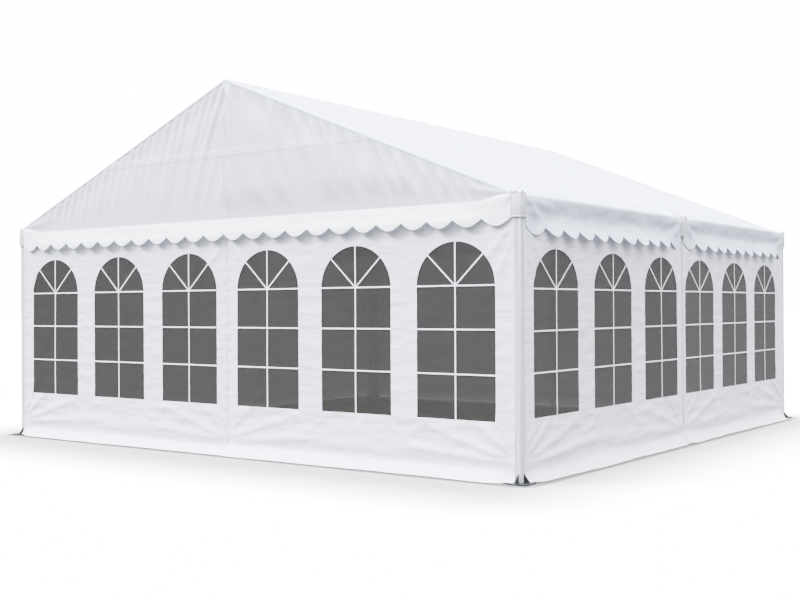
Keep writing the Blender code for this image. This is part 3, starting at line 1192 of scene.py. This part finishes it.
@dataclass
class RoofSheet:
    """One bay's roof sheet, over the ridge from eave to eave, with its scalloped valances."""

    shop: Workshop
    way: int
    seed: int
    step: float = 0.034
    thick: float = 0.0025
    eave_radius: float = 0.009
    lip_radius: float = 0.006
    lip_deep: float = 0.010
    notch_height: float = 1.919
    scallop_count: int = 11
    scallop_deep: float = 0.062
    columns_a_scallop: int = 14
    valance_rows: int = 16
    flare_out: float = 0.056
    droop: float = 0.012
    sag: float = 0.020
    streak: float = 0.0060
    broad_streak: float = 0.0170
    bead_at: float = 0.016
    bead_wide: float = 0.011
    bead_high: float = 0.011
    bead_marks: tuple[float, ...] = (0.006, 0.012, 0.018, 0.025)
    cap_gap: float = 0.0006
    lip_gap: float = 0.0022
    edge_out: float = 0.020
    fold_share: float = 0.66
    wander_high: float = 0.0062
    fine_high: float = 0.0038
    flap_swing: float = 0.006
    bend_rows: int = 4

    def __post_init__(self) -> None:
        """Works out where the slope turns into the valance."""
        sizes = self.shop.sizes
        slope = sizes.slope
        self.cap_edge = sizes.half_cap + self.cap_gap
        self.arc_x = sizes.eave_out - self.eave_radius
        drop = (self.eave_radius + self.arc_x * math.sin(slope)) / math.cos(slope)
        self.arc_z = sizes.ridge_top - drop
        turn_x = self.arc_x + self.eave_radius * math.sin(slope)
        self.slope_long = turn_x / math.cos(slope)
        self.arc_long = self.eave_radius * (math.pi / 2.0 - slope)
        self.notch_long = self.slope_long + self.arc_long + self.arc_z - self.notch_height
        self.lip_start = sizes.roof_end - self.lip_radius - self.lip_gap
        self.bay = sizes.half_span

    @property
    def label(self) -> str:
        """Which bay the sheet covers."""
        return "front" if self.way < 0 else "rear"

    def hem_drop(self, along: np.ndarray) -> np.ndarray:
        """How far the scallops hang below their notches."""
        share = (along - self.cap_edge) / (self.bay - 2.0 * self.cap_edge) * self.scallop_count
        inside = (along >= self.cap_edge) & (along <= self.bay - self.cap_edge)
        return np.where(inside, self.scallop_deep * np.abs(np.sin(math.pi * share)), 0.0)

    def outline(self, down: np.ndarray) -> tuple[np.ndarray, np.ndarray, np.ndarray, np.ndarray]:
        """The sheet's profile on one side of the ridge.

        Args:
            down: Distance from the ridge along the cloth.

        Returns:
            Across and up, and the direction out of the cloth there, across and up.
        """
        sizes = self.shop.sizes
        slope = sizes.slope
        on_slope = down <= self.slope_long
        angle = math.pi / 2.0 - slope - np.clip((down - self.slope_long) / self.eave_radius, 0.0, None)
        angle = np.maximum(angle, 0.0)
        hanging = np.maximum(down - self.slope_long - self.arc_long, 0.0)
        across = np.where(on_slope, down * math.cos(slope), self.arc_x + self.eave_radius * np.cos(angle))
        up = np.where(
            on_slope,
            sizes.ridge_top - down * math.sin(slope),
            self.arc_z + self.eave_radius * np.sin(angle) - hanging,
        )
        return across, up, np.cos(angle), np.sin(angle)

    def slope_lift(self, along: np.ndarray, down: np.ndarray) -> np.ndarray:
        """How far the cloth stands off the plane of the slope: sag, pulls and fine waves."""
        share = np.clip(down / self.slope_long, 0.0, 1.0)
        reach = np.clip(along / self.bay, 0.0, 1.0)
        bowl = np.sin(math.pi * reach) ** 0.9 * np.sin(math.pi * share) ** 0.7
        out = -self.sag * bowl
        inside = smooth_step(0.0, 0.25, np.minimum(along, self.bay - along)) * np.sin(math.pi * share)
        drawn = along + 0.10 * down
        streaks = Ripple(self.seed, (0.13, 2.2))(drawn, down)
        broad_streaks = Ripple(self.seed + 1, (0.42, 3.0))(drawn, down)
        out = out + inside * (self.streak * streaks + self.broad_streak * broad_streaks)
        for corner in (0.0, self.bay):
            turn = 1.0 if corner == 0.0 else -1.0
            for reach_in, reach_up, high in ((0.55, 1.1, 0.009), (0.95, 0.75, 0.011), (1.3, 0.35, 0.010)):
                start = (corner + turn * 0.05, self.slope_long - 0.05)
                end = (corner + turn * reach_in, self.slope_long - reach_up)
                out = out + Fold(start, end, 0.035, high, 1.6).lift(along, down)
        return out + np.exp(-(((along - self.bead_at) / self.bead_wide) ** 2)) * self.bead_high

    def valance_lift(self, along: np.ndarray, hang_share: np.ndarray) -> np.ndarray:
        """How far the valance swings out of its plane between the caps.

        Args:
            along: Distance from the middle frame.
            hang_share: 0 at the eave's edge, 1 at the notches, above 1 in the scallops.

        Returns:
            The distance outwards.
        """
        clear = np.clip((along - self.cap_edge) / (self.bay - 2.0 * self.cap_edge), 0.0, 1.0)
        free = np.clip(4.0 * clear * (1.0 - clear), 0.0, 1.0)
        from_cap = np.minimum(along - self.cap_edge, self.bay - self.cap_edge - along)
        from_cap = np.maximum(from_cap, 0.0)
        level = 0.06 * Ripple(self.seed + 6, (0.5, 9.0))(along, along * 0.0)
        from_corner = np.maximum(self.bay - self.cap_edge - along, 0.0)
        from_middle = np.maximum(along - self.cap_edge, 0.0)
        corner_rise = -0.12 if self.way < 0 else 0.40
        rise = 0.45 * np.exp(-from_middle / 0.20) + corner_rise * np.exp(-from_corner / 0.20)
        fold_line = self.fold_share - rise + level
        edge = self.edge_out * (1.0 - smooth_step(-0.05, 1.0, hang_share / fold_line))
        flare = np.clip((hang_share - fold_line + 0.08) / (1.35 - fold_line), 0.0, 1.2)
        belly = (edge + self.flare_out * flare**1.3) * (0.04 + 0.96 * smooth_step(0.0, 0.50, from_cap))
        wander = Ripple(self.seed + 2, (0.22, 0.45))(along, hang_share)
        fine = Ripple(self.seed + 3, (0.075, 0.22))(along, hang_share)
        crumples = self.wander_high * wander + self.fine_high * fine
        out = belly + free**0.6 * crumples * smooth_step(0.02, 0.3, hang_share)
        flap = along * self.scallop_count / self.bay
        swing = Ripple(self.seed + 4, (1.0, 9.0))(flap, flap * 0.0)
        out = out + self.flap_swing * swing * smooth_step(0.75, 1.2, hang_share)
        fallen = hang_share * self.valance_long
        for corner, turn in ((self.cap_edge, 1.0), (self.bay - self.cap_edge, -1.0)):
            for start, reach, low, high in (
                (0.006, 0.46, 0.080, 0.018),
                (0.010, 0.17, 0.140, 0.024),
                (0.095, 0.28, 0.165, 0.014),
            ):
                fold = Fold((corner, start), (corner + turn * reach, low), 0.019, high, 1.8)
                out = out + fold.lift(along, fallen)
        return np.maximum(out, -0.001)

    def place(self, along: np.ndarray, down: np.ndarray) -> np.ndarray:
        """Places points of the cut over the tent.

        Args:
            along: Distance from the middle frame, then on round the gable's edge.
            down: Distance from the ridge, to the left below 0 and to the right above.

        Returns:
            The places, one row each.
        """
        side = np.where(down < 0.0, -1.0, 1.0)
        far = np.abs(down)
        run = np.minimum(along, self.lip_start)
        valance = np.clip((far - self.slope_long - self.arc_long) / self.valance_long, 0.0, None)
        drop = self.hem_drop(along) + self.droop * np.sin(math.pi * np.clip(along / self.bay, 0.0, 1.0))
        stretched = self.slope_long + self.arc_long + valance * (self.valance_long + drop)
        far = np.where(valance > 0.0, stretched, far)
        across, up, out_x, out_z = self.outline(far)
        lift = np.where(far < self.slope_long, self.slope_lift(run, far), 0.0)
        eave = smooth_step(self.slope_long - 0.05, self.slope_long + self.arc_long, far)
        hang_share = np.maximum(far - self.slope_long - self.arc_long, 0.0) / self.valance_long
        lift = lift + eave * self.valance_lift(run, hang_share)
        past = np.maximum(along - self.lip_start, 0.0)
        turn = np.minimum(past / self.lip_radius, math.pi / 2.0)
        lip = np.maximum(past - self.lip_radius * math.pi / 2.0, 0.0)
        end = run + self.lip_radius * np.sin(turn)
        lift = lift - self.lip_radius * (1.0 - np.cos(turn)) - lip
        spot = np.empty((len(along), 3))
        spot[:, 0] = side * (across + out_x * lift)
        spot[:, 1] = self.way * end
        spot[:, 2] = up + out_z * lift
        return spot

    @property
    def valance_long(self) -> float:
        """Length of the valance from the eave's bend to the notches."""
        return self.notch_long - self.slope_long - self.arc_long

    def build(self) -> None:
        """Cuts, hangs and hands over the sheet."""
        clear = self.bay - 2.0 * self.cap_edge
        cells = self.scallop_count * self.columns_a_scallop
        marks = [self.cap_edge + clear * number / cells for number in range(cells + 1)]
        marks += [*self.bead_marks, self.lip_start]
        marks += [self.lip_start + self.lip_radius * math.pi / 2.0 * share for share in (0.33, 0.66, 1.0)]
        stop = self.lip_start + self.lip_radius * math.pi / 2.0 + self.lip_deep
        columns = cloth_lines(0.0, stop, self.step, marks)
        cap_down = (self.bay - self.cap_edge) / math.cos(self.shop.sizes.slope)
        half = cloth_lines(0.0, self.slope_long, self.step, [0.02, cap_down])
        bend = np.linspace(self.slope_long, self.slope_long + self.arc_long, self.bend_rows + 1)[1:]
        valance = np.linspace(bend[-1], self.notch_long, self.valance_rows + 1)[1:]
        rows = both_sides(np.concatenate([half, bend, valance]))
        sheet = lay_cloth(f"roof_{self.label}_bay", columns, rows)
        middles = face_middles(sheet)
        at_cap = (middles[:, 0] < self.cap_edge) | (middles[:, 0] > self.bay - self.cap_edge)
        cut_away(sheet, at_cap & (np.abs(middles[:, 1]) > cap_down))
        area = flat_area(sheet)
        hang(sheet, self.place, self.thick, turned=self.way < 0)
        self.shop.hand_over(sheet, "roof_pvc", f"roof_sheet_{self.label}")


@dataclass
class GableSheet:
    """The triangle over a gable wall, with its seams and its scalloped valance."""

    shop: Workshop
    wall: Wall
    seed: int
    step: float = 0.013
    thick: float = 0.0018
    pleat: float = 0.128
    fold_high: float = 0.0066
    right_fold_high: float = 0.0250
    broad_high: float = 0.0045
    cap_rise: float = 0.046
    low: float = 2.05
    band_top: float = 2.112
    notch: float = 1.980
    scallop_count: int = 24
    scallop_deep: float = 0.060
    columns_a_scallop: int = 10
    band_rows: int = 10
    seam_low: float = 2.672
    seam_high: float = 2.742
    seam_half: float = 0.011
    seam_top: float = 3.33
    rake_gap: float = 0.008
    inward_most: float = 0.0015
    out_low: float = 0.004
    out_higher: float = 0.040
    closed_out: float = 0.0080
    band_proud: float = 0.008
    band_flare: float = 0.030
    soft_high: float = 0.0036
    fine_high: float = 0.0016
    flap_out: float = 0.006
    flap_swing: float = 0.004
    flap_bow: float = 0.006
    lap_thick: float = 0.0012
    lap_proud: float = 0.0014
    thread_rows: int = 44

    @property
    def label(self) -> str:
        """Which gable it is."""
        return self.wall.name.lower()

    @property
    def half_wide(self) -> float:
        """Half the sheet's width, up to the caps."""
        return self.shop.sizes.half_span - self.shop.sizes.half_cap - 0.001

    def rake(self, across: np.ndarray) -> np.ndarray:
        """Height of the sheet's upper edge, just under the roof sheet."""
        return self.shop.sizes.roof_height(across) - self.rake_gap

    def lift(self, across: np.ndarray, up: np.ndarray) -> np.ndarray:
        """How far the folds that hang from the rakes stand out of the sheet's plane.

        Args:
            across: Distance from the middle, to the right for someone outside.
            up: Height above the ground.

        Returns:
            The distance outwards.
        """
        left = across < 0.0
        away = np.abs(across)
        from_cap = self.half_wide - away
        below = np.maximum(self.rake(away) - up, 0.0)
        fall = math.tan(self.shop.sizes.slope)
        fan = smooth_step(0.9, 0.1, away)
        lean = np.where(left, 0.28 + 0.16 * fan, 0.42 - 0.08 * fan)
        hung_from = away - lean * below / (1.0 - lean * fall)
        place = np.where(left, -1.0, 1.0) * hung_from
        wander = Ripple(self.seed + 1, (0.45, 1.3))(place, up)
        strength = 0.80 + 0.70 * Ripple(self.seed, (0.30, 1.1))(place, up)
        wide = np.where(left, self.pleat, self.pleat * 1.35)
        near = np.sin(2.0 * math.pi * (place / wide + 0.5 * wander))
        lower = np.sin(2.0 * math.pi * (place / (2.2 * wide) + 0.4 * wander) + 1.0)
        close = np.exp(-below / 0.55)
        pleats = close * near + (1.0 - close) * 1.3 * lower
        broad = Ripple(self.seed + 4, (0.22, 1.6))(place, up)
        start = np.where(left, 0.05, 0.13)
        free = smooth_step(0.0, 1.0, below / start) * smooth_step(0.03, 0.36, up - self.low)
        free = free * smooth_step(0.02, 0.30, from_cap)
        stand = smooth_step(0.0, 0.35, below)
        high = np.where(left, self.fold_high, self.right_fold_high)
        out = free * high * (1.2 * stand + strength * pleats)
        out = out + free * stand * self.broad_high * (1.0 + broad)
        for cap in (-1.0, 1.0):
            for reach, rise, ridge in ((0.50, 0.10, 0.005), (0.66, 0.17, 0.004)):
                start = (cap * (self.half_wide - 0.02), self.band_top + 0.045)
                end = (cap * (self.half_wide - reach), self.band_top + rise)
                out = out + Fold(start, end, 0.014, ridge, 1.8).lift(across, up)
        clear = smooth_step(self.band_top + 0.02, self.band_top + 0.30, up)
        highest = self.out_low + self.out_higher * clear
        closed = self.closed_out * smooth_step(0.16, 0.0, below)
        return np.clip(out, -self.inward_most, highest) + closed

    def place(self, across: np.ndarray, up: np.ndarray, proud: float = 0.0) -> np.ndarray:
        """Places points of the sheet on the gable.

        Args:
            across: Distance from the middle, to the right for someone outside.
            up: Height above the ground.
            proud: Distance in front of the sheet's outer face.

        Returns:
            The places, one row each.
        """
        out = self.shop.sizes.gable_face + self.lift(across, up) + proud
        return self.wall.spots(across, out, up)

    def build_triangle(self) -> None:
        """The triangle itself, with its threads fanned between the band and the rakes."""
        columns = both_sides(cloth_lines(0.0, self.half_wide, self.step, [self.half_wide - 0.01]))
        shares = np.linspace(0.0, 1.0, self.thread_rows + 1)
        triangle = lay_cloth(f"gable_{self.label}", columns, shares)
        flat = vertex_places(triangle)
        flat[:, 1] = self.low + flat[:, 1] * (self.rake(flat[:, 0]) - self.low)
        lay_flat(triangle, flat)
        area = flat_area(triangle)
        size = (2.0 * self.half_wide, float(self.rake(np.zeros(1))[0]) - self.low)
        hang(triangle, self.place, self.thick)
        self.shop.hand_over(triangle, "gable_pvc", f"gable_sheet_{self.label}")

    def build_seams(self) -> None:
        """The welded laps: one level across the triangle, and one down its middle."""
        rows = np.linspace(self.seam_low, self.seam_high, 8)
        level = lay_cloth("level_lap", np.linspace(-1.0, 1.0, 261), rows)
        flat = vertex_places(level)
        to_rake = (self.shop.sizes.ridge_top - flat[:, 1]) / math.tan(self.shop.sizes.slope) - 0.03
        flat[:, 0] = flat[:, 0] * to_rake
        move_vertices(level, flat)
        sides = np.array([-self.seam_half, self.seam_half])
        upright = lay_cloth("upright_lap", sides, cloth_lines(self.low, self.seam_top, 0.03))
        laps = join([level, upright], f"gable_laps_{self.label}")

        def on_sheet(across: np.ndarray, up: np.ndarray) -> np.ndarray:
            """Lays the laps on the triangle."""
            from_edge = np.minimum(np.abs(up - self.seam_low), np.abs(up - self.seam_high))
            return self.place(across, up, self.lap_proud * (1.0 + smooth_step(0.0, 0.008, from_edge)))

        hang(laps, on_sheet, self.lap_thick)
        self.shop.hand_over(laps, "lap_pvc")

    def band_lift(self, across: np.ndarray, share: np.ndarray) -> np.ndarray:
        """How far the valance stands out of the triangle's plane.

        Args:
            across: Distance from the middle.
            share: 0 at the valance's upper edge, 1 at the notches.

        Returns:
            The distance outwards.
        """
        from_cap = self.half_wide - np.abs(across)
        free = smooth_step(0.0, 0.5, from_cap)
        soft = Ripple(self.seed + 5, (0.45, 0.8))(across, share)
        fine = Ripple(self.seed + 6, (0.16, 0.35))(across, share)
        flare = self.band_flare * smooth_step(-0.6, 1.1, share)
        out = self.band_proud + free * (flare + self.soft_high * soft + self.fine_high * fine)
        flap = (across + self.half_wide) / (2.0 * self.half_wide) * self.scallop_count
        swing = Ripple(self.seed + 7, (1.0, 9.0))(flap, flap * 0.0)
        bow = np.abs(np.sin(math.pi * flap))
        low_part = smooth_step(0.55, 1.25, share)
        out = out + low_part * (self.flap_out + self.flap_swing * swing + self.flap_bow * bow)
        for cap in (-1.0, 1.0):
            for reach, low, high in ((0.30, 0.35, 0.014), (0.22, 0.75, 0.015), (0.13, 1.1, 0.012)):
                start = (cap * (self.half_wide - 0.005), 0.05)
                end = (cap * (self.half_wide - reach), low)
                out = out + Fold(start, end, 0.018, high, 1.4).lift(across, share)
        return np.maximum(out, 0.002)

    def build_valance(self) -> None:
        """The white scalloped band along the foot of the triangle."""
        cells = self.scallop_count * self.columns_a_scallop
        columns = np.linspace(-self.half_wide, self.half_wide, cells + 1)
        shares = np.linspace(0.0, 1.0, self.band_rows + 1)
        band = lay_cloth(f"gable_valance_{self.label}", columns, shares)
        tall = self.band_top - self.notch

        def crest(across: np.ndarray) -> np.ndarray:
            """How far the band's upper edge sweeps up to the caps."""
            return self.cap_rise * smooth_step(0.34, 0.02, self.half_wide - np.abs(across))

        def drop(across: np.ndarray) -> np.ndarray:
            """Length of the band at each place across."""
            flap = (across + self.half_wide) / (2.0 * self.half_wide) * self.scallop_count
            return tall + crest(across) + self.scallop_deep * np.abs(np.sin(math.pi * flap))

        def hung(across: np.ndarray, share: np.ndarray) -> np.ndarray:
            """Hangs the band in front of the triangle's foot."""
            long = drop(across)
            share_of_notch = (1.0 - share) * long / tall
            top = self.band_top + crest(across)
            out = self.shop.sizes.gable_face + self.band_lift(across, share_of_notch)
            return self.wall.spots(across, out, top - (1.0 - share) * long)

        hang(band, hung, self.thick)
        self.shop.hand_over(band, "valance_pvc", f"gable_sheet_{self.label}")

    def build(self) -> None:
        """Builds the triangle, its seams and its valance."""
        self.build_triangle()
        self.build_seams()
        self.build_valance()


@dataclass
class Post:
    """An extruded post with its foot and its eave cap."""

    shop: Workshop
    name: str
    rail: float = 0.027
    groove: float = 0.0030
    lip: float = 0.003
    lip_tall: float = 0.010
    lid: float = 0.004
    middle_proud: float = 0.034
    bolt_radius: float = 0.007
    bolt_tall: float = 0.016
    washer_radius: float = 0.011
    washer_tall: float = 0.002
    hook_radius: float = 0.009
    hook_wire: float = 0.002
    hook_aside: float = 0.046
    hook_out: float = 0.036
    hook_down: float = 0.010
    pin_height: float = 0.048
    pin_radius: float = 0.007
    pin_longer: float = 0.026
    head_out: float = 0.010
    head_radius: float = 0.011
    head_long: float = 0.006

    @property
    def middle(self) -> Vector:
        """The point where the post's axis meets the ground."""
        low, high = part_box(f"post_{self.name}")
        return Vector(((low.x + high.x) / 2.0, (low.y + high.y) / 2.0, 0.0))

    def build_post(self) -> None:
        """The extrusion: a square tube with a shallow channel down each face."""
        low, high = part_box(f"post_{self.name}")
        clear_selection()
        bpy.ops.mesh.primitive_cube_add(size=1.0, location=(low + high) / 2.0)
        post = bpy.context.object
        post.name = f"upright_{self.name}"
        post.scale = high - low
        settle(post)
        post.data.polygons.foreach_set("select", [abs(face.normal.z) < 0.5 for face in post.data.polygons])
        with editing(post):
            bpy.ops.mesh.select_mode(type="FACE")
            bpy.ops.mesh.inset(thickness=self.rail, use_individual=True)
            bpy.ops.mesh.extrude_faces_move(TRANSFORM_OT_shrink_fatten={"value": -self.groove})
        shade_smooth(soften(post, 0.0012))
        # The post's finish carries painted shade, darker than the frame's own aluminium.
        self.shop.hand_over(post, "post_aluminium", f"post_{self.name}")

    def build_cap(self) -> None:
        """The cap at the eave: a sleeve with a lipped foot and a lid, proud at the middle frame."""
        low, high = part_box(f"eave_bracket_{self.name}")
        proud = Vector((self.middle_proud if self.name.startswith("middle") else 0.0, 0.0, 0.0))
        if self.middle.x > 0.0:
            high = high + proud
        else:
            low = low - proud
        sleeve = add_block("sleeve", low, high - Vector((0.0, 0.0, self.lid)), 0.004)
        out = Vector((self.lip, self.lip, 0.0))
        foot_high = Vector((high.x, high.y, low.z + self.lip_tall))
        foot = add_block("lip", low - out, foot_high + out, 0.002)
        thin = out * 0.5
        lid_low = Vector((low.x, low.y, high.z - self.lid))
        lid = add_block("lid", lid_low - thin, high + thin, 0.0015)
        cap = join([sleeve, foot, lid], f"cap_{self.name}")
        shade_smooth(cap)
        self.shop.hand_over(cap, "bracket_enamel", f"eave_bracket_{self.name}")

    def build_fastenings(self) -> None:
        """The dark bolts on the cap's lid, and the hook that holds the roof sheet's corner."""
        low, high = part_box(f"eave_bracket_{self.name}")
        middle = self.middle
        out_x = math.copysign(1.0, middle.x)
        out_y = math.copysign(1.0, middle.y) if abs(middle.y) > 0.1 else 0.0
        parts = []
        for step_x, step_y in ((0.022, 0.020), (-0.018, -0.016)):
            place = (middle.x + step_x * out_x, middle.y + step_y, high.z + self.bolt_tall / 2.0)
            parts.append(add_turned("bolt", place, self.bolt_radius, self.bolt_tall, 6))
            washer = (place[0], place[1], high.z + self.washer_tall / 2.0)
            parts.append(add_turned("washer", washer, self.washer_radius, self.washer_tall, 20))
        clear_selection()
        hook_y = middle.y - (out_y if out_y else 1.0) * self.hook_aside
        bpy.ops.mesh.primitive_torus_add(
            major_radius=self.hook_radius, minor_radius=self.hook_wire, major_segments=20, minor_segments=8,
            location=(middle.x + out_x * self.hook_out, hook_y, high.z - self.hook_down),
            rotation=(0.0, math.pi / 2.0, 0.0),
        )
        parts.append(settle(bpy.context.object))
        bolts = join(parts, f"fastenings_{self.name}")
        shade_smooth(bolts)
        self.shop.hand_over(bolts, "dark_steel")

    def build_foot(self) -> None:
        """The foot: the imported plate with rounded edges, and its dark hinge pin and bolt."""
        node = frame["nodes"][f"base_plate_{self.name}"]
        clear_selection()
        plate = bpy.data.objects.new(f"foot_{self.name}", node.data.copy())
        bpy.context.scene.collection.objects.link(plate)
        with editing(plate):
            bpy.ops.mesh.select_all(action="SELECT")
            bpy.ops.mesh.remove_doubles(threshold=0.00005)
            bpy.ops.mesh.dissolve_limited(angle_limit=math.radians(2.0))
        soften(plate, 0.0014)
        self.shop.hand_over(plate, "galvanised_steel", f"base_plate_{self.name}")
        middle = self.middle
        half = self.shop.sizes.half_post
        place = (middle.x, middle.y, self.pin_height)
        parts = [add_turned("pin", place, self.pin_radius, 2.0 * half + self.pin_longer, 16, "X")]
        for side in (-1.0, 1.0):
            place = (middle.x + side * (half + self.head_out), middle.y, self.pin_height)
            parts.append(add_turned("head", place, self.head_radius, self.head_long, 6, "X"))
        pins = join(parts, f"foot_pin_{self.name}")
        self.shop.hand_over(pins, "dark_steel")

    def build(self) -> None:
        """Builds the post from its foot to its cap."""
        self.build_foot()
        self.build_post()
        self.build_cap()
        self.build_fastenings()


@dataclass
class Skeleton:
    """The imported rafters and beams, which keep their shape and get their finish."""

    shop: Workshop
    prefixes: tuple[str, ...] = ("rafters", "eave_beam", "ridge_beam", "gable_beam", "gable_upright")

    def build(self) -> None:
        """Gives each rafter and beam its drawn aluminium."""
        for name, node in frame["nodes"].items():
            if name.startswith(self.prefixes):
                self.shop.finishes.paint(node, "aluminium")
                LOG.info("%s: finish only", name)


@dataclass
class Studio:
    """A pale floor with painted shade around the tent, soft light from above and the camera at the
    photograph's angle.
    """

    place: tuple[float, float, float] = (7.2967, -10.3439, 1.3175)
    yaw: float = 0.6336
    climb: float = 0.0061
    roll: float = -0.0059
    focal_pixels: float = 1139.6
    picture_wide: float = 800.0
    sensor_wide: float = 36.0
    floor_side: float = 400.0
    # The floor's painted shade: how far it is moved to the front, its contact line and its pool around the
    # tent.
    front_shade: float = 0.42
    line_shade: float = 0.35
    line_reach: float = 0.15
    contact_shade: float = 0.38
    contact_reach: float = 0.95
    shade_half: float = 3.03
    shade_start: float = 0.20
    shade_reach: float = 2.2
    backdrop: float = 16.0
    zenith: float = 16.0
    horizon: float = 0.3
    bounce: float = 0.9
    floor_colour: tuple[float, float, float] = (0.95, 0.92, 0.87)
    sky_colour: tuple[float, float, float] = (0.965, 0.96, 1.0)
    sun_colour: tuple[float, float, float] = (0.835, 0.91, 1.0)

    def add_camera(self) -> None:
        """Adds the camera, turned as the photograph's was."""
        ahead = Vector((
            -math.sin(self.yaw) * math.cos(self.climb),
            math.cos(self.yaw) * math.cos(self.climb),
            math.sin(self.climb),
        ))
        right = Vector((math.cos(self.yaw), math.sin(self.yaw), 0.0))
        above = right.cross(ahead)
        turned_right = math.cos(self.roll) * right + math.sin(self.roll) * above
        turned_above = math.cos(self.roll) * above - math.sin(self.roll) * right
        data = bpy.data.cameras.new("camera")
        data.sensor_fit = "HORIZONTAL"
        data.sensor_width = self.sensor_wide
        data.lens = self.focal_pixels * self.sensor_wide / self.picture_wide
        camera = bpy.data.objects.new("camera", data)
        bpy.context.scene.collection.objects.link(camera)
        stand = Matrix((turned_right, turned_above, -ahead)).transposed().to_4x4()
        stand.translation = self.place
        camera.matrix_world = stand
        bpy.context.scene.camera = camera

    def add_floor(self) -> None:
        """Adds the pale floor: painted shade near the tent, and a painted glow that brightens it into the
        backdrop away from the tent.
        """
        clear_selection()
        bpy.ops.mesh.primitive_plane_add(size=self.floor_side, location=(0.0, 0.0, 0.0))
        floor = bpy.context.object
        floor.name = "studio_floor"
        shader = Shader("studio_floor")
        shader.set("Roughness", 0.9)
        shader.set("Specular IOR Level", 0.0)
        near = self.reach(shader, 0.0)
        broad = self.reach(shader, self.front_shade)
        inputs = {
            "From Min": self.shade_start,
            "From Max": self.shade_reach,
            "To Max": self.backdrop,
            "Value": broad,
        }
        # Painted light: the floor glows more the farther it lies from the tent, so that its shade near the
        # tent is painted.
        painted_floor_glow = add_node(shader.tree, "MapRange", inputs, interpolation_type="SMOOTHSTEP")
        # Painted shade: a darker pool of floor colour around the tent, and dark floor under it.
        shade = tuple(channel * self.contact_shade for channel in self.floor_colour)
        painted_shade_pool = shader.between(broad, shade, self.floor_colour, 0.0, self.contact_reach)
        # Painted shadow: a dark line on the floor along the foot of the walls.
        grey = (self.line_shade,) * 3
        line = shader.between(near, grey, WHITE, self.line_reach, self.line_reach + 0.01)
        for position, colour in ((0.0, WHITE), (0.005, grey)):
            line.node.color_ramp.elements.new(position).color = (*colour, 1.0)
        shader.link(shader.multiply(painted_shade_pool, line), "Base Color")
        shader.set("Emission Color", (*WHITE, 1.0))
        shader.link(painted_floor_glow.outputs["Result"], "Emission Strength")
        floor.data.materials.append(shader.material)
        floor.visible_diffuse = False
        floor.visible_glossy = False

    def reach(self, shader: Shader, forward: float) -> bpy.types.NodeSocket:
        """Adds the distance from the tent's footprint.

        Args:
            shader: The floor's material.
            forward: How far the footprint is moved to the front.

        Returns:
            The distance, which is 0 inside the footprint.
        """
        socket = shader.place["Object"]
        half = (self.shade_half, self.shade_half, 0.0)
        for kind, fixed in (
            ("ADD", (0.0, forward, 0.0)),
            ("ABSOLUTE", (0.0, 0.0, 0.0)),
            ("SUBTRACT", half),
            ("MAXIMUM", (0.0, 0.0, 0.0)),
            ("LENGTH", (0.0, 0.0, 0.0)),
        ):
            node = add_node(shader.tree, "VectorMath", {0: socket, 1: fixed}, operation=kind)
            socket = node.outputs["Value" if kind == "LENGTH" else "Vector"]
        return socket

    def add_world(self) -> None:
        """Adds an even white backdrop, and light that grows towards the zenith."""
        world = bpy.data.worlds.new("studio")
        world.use_nodes = True
        bpy.context.scene.world = world
        tree = world.node_tree
        place = add_node(tree, "TexCoord")
        height = add_node(tree, "SeparateXYZ", {"Vector": place.outputs["Generated"]}).outputs["Z"]
        rise = add_node(tree, "MapRange", {"Value": height})
        peak = add_node(tree, "Math", {0: rise.outputs["Result"], 1: 2.0}, operation="POWER")
        inputs = {0: peak.outputs["Value"], 1: self.zenith, 2: self.horizon}
        above = add_node(tree, "Math", inputs, operation="MULTIPLY_ADD")
        below = add_node(tree, "MapRange", {"Value": height, "From Max": -1.0, "To Max": self.bounce})
        total = add_node(tree, "Math", {0: above.outputs["Value"], 1: below.outputs["Result"]})
        light = tree.nodes["Background"]
        light.inputs["Color"].default_value = (*self.sky_colour, 1.0)
        tree.links.new(total.outputs["Value"], light.inputs["Strength"])
        backdrop = add_node(tree, "Background", {"Color": (*WHITE, 1.0), "Strength": self.backdrop})
        seen = add_node(tree, "LightPath")
        inputs = {
            "Fac": seen.outputs["Is Camera Ray"],
            1: light.outputs["Background"],
            2: backdrop.outputs["Background"],
        }
        mix = add_node(tree, "MixShader", inputs)
        tree.links.new(mix.outputs["Shader"], tree.nodes["World Output"].inputs["Surface"])

    def add_sun(self, name: str, energy: float, spread: float, towards: Sequence[float]) -> None:
        """Adds one soft distant light.

        Args:
            name: Its name.
            energy: Its strength in watts a square metre.
            spread: How wide it is, in degrees.
            towards: The way that its light travels.
        """
        data = bpy.data.lights.new(name, "SUN")
        data.energy = energy
        data.color = self.sun_colour
        data.angle = math.radians(spread)
        light = bpy.data.objects.new(name, data)
        bpy.context.scene.collection.objects.link(light)
        light.rotation_euler = Vector(towards).to_track_quat("-Z", "Y").to_euler()

    def build(self) -> None:
        """Sets up the studio."""
        self.add_camera()
        self.add_floor()
        self.add_world()
        self.add_sun("key", 15.0, 18.0, (0.60, 0.46, -0.65))
        self.add_sun("fill", 3.4, 30.0, (-0.45, 0.30, -0.75))


def main() -> None:
    """Builds the tent's sub-assemblies in order."""
    logging.basicConfig(level=logging.INFO, format="%(name)s %(message)s")
    Studio().build()
    sizes = TentSizes.from_frame()
    shop = Workshop(sizes, Finishes(sizes))
    Skeleton(shop).build()
    for name in frame["nodes"]:
        if name.startswith("post_"):
            Post(shop, name.removeprefix("post_")).build()
    for number, wall in enumerate(Wall):
        for hand in (-1, 1):
            WallPanel(shop, wall, hand, seed=100 * number + 10 * hand + 31).build()
    for way in (-1, 1):
        RoofSheet(shop, way, 700 + way).build()
    for wall in (Wall.FRONT, Wall.REAR):
        GableSheet(shop, wall, 811 if wall is Wall.FRONT else 907).build()
    LOG.info("%d pieces made", len(shop.made))


if __name__ == "__main__":
    main()
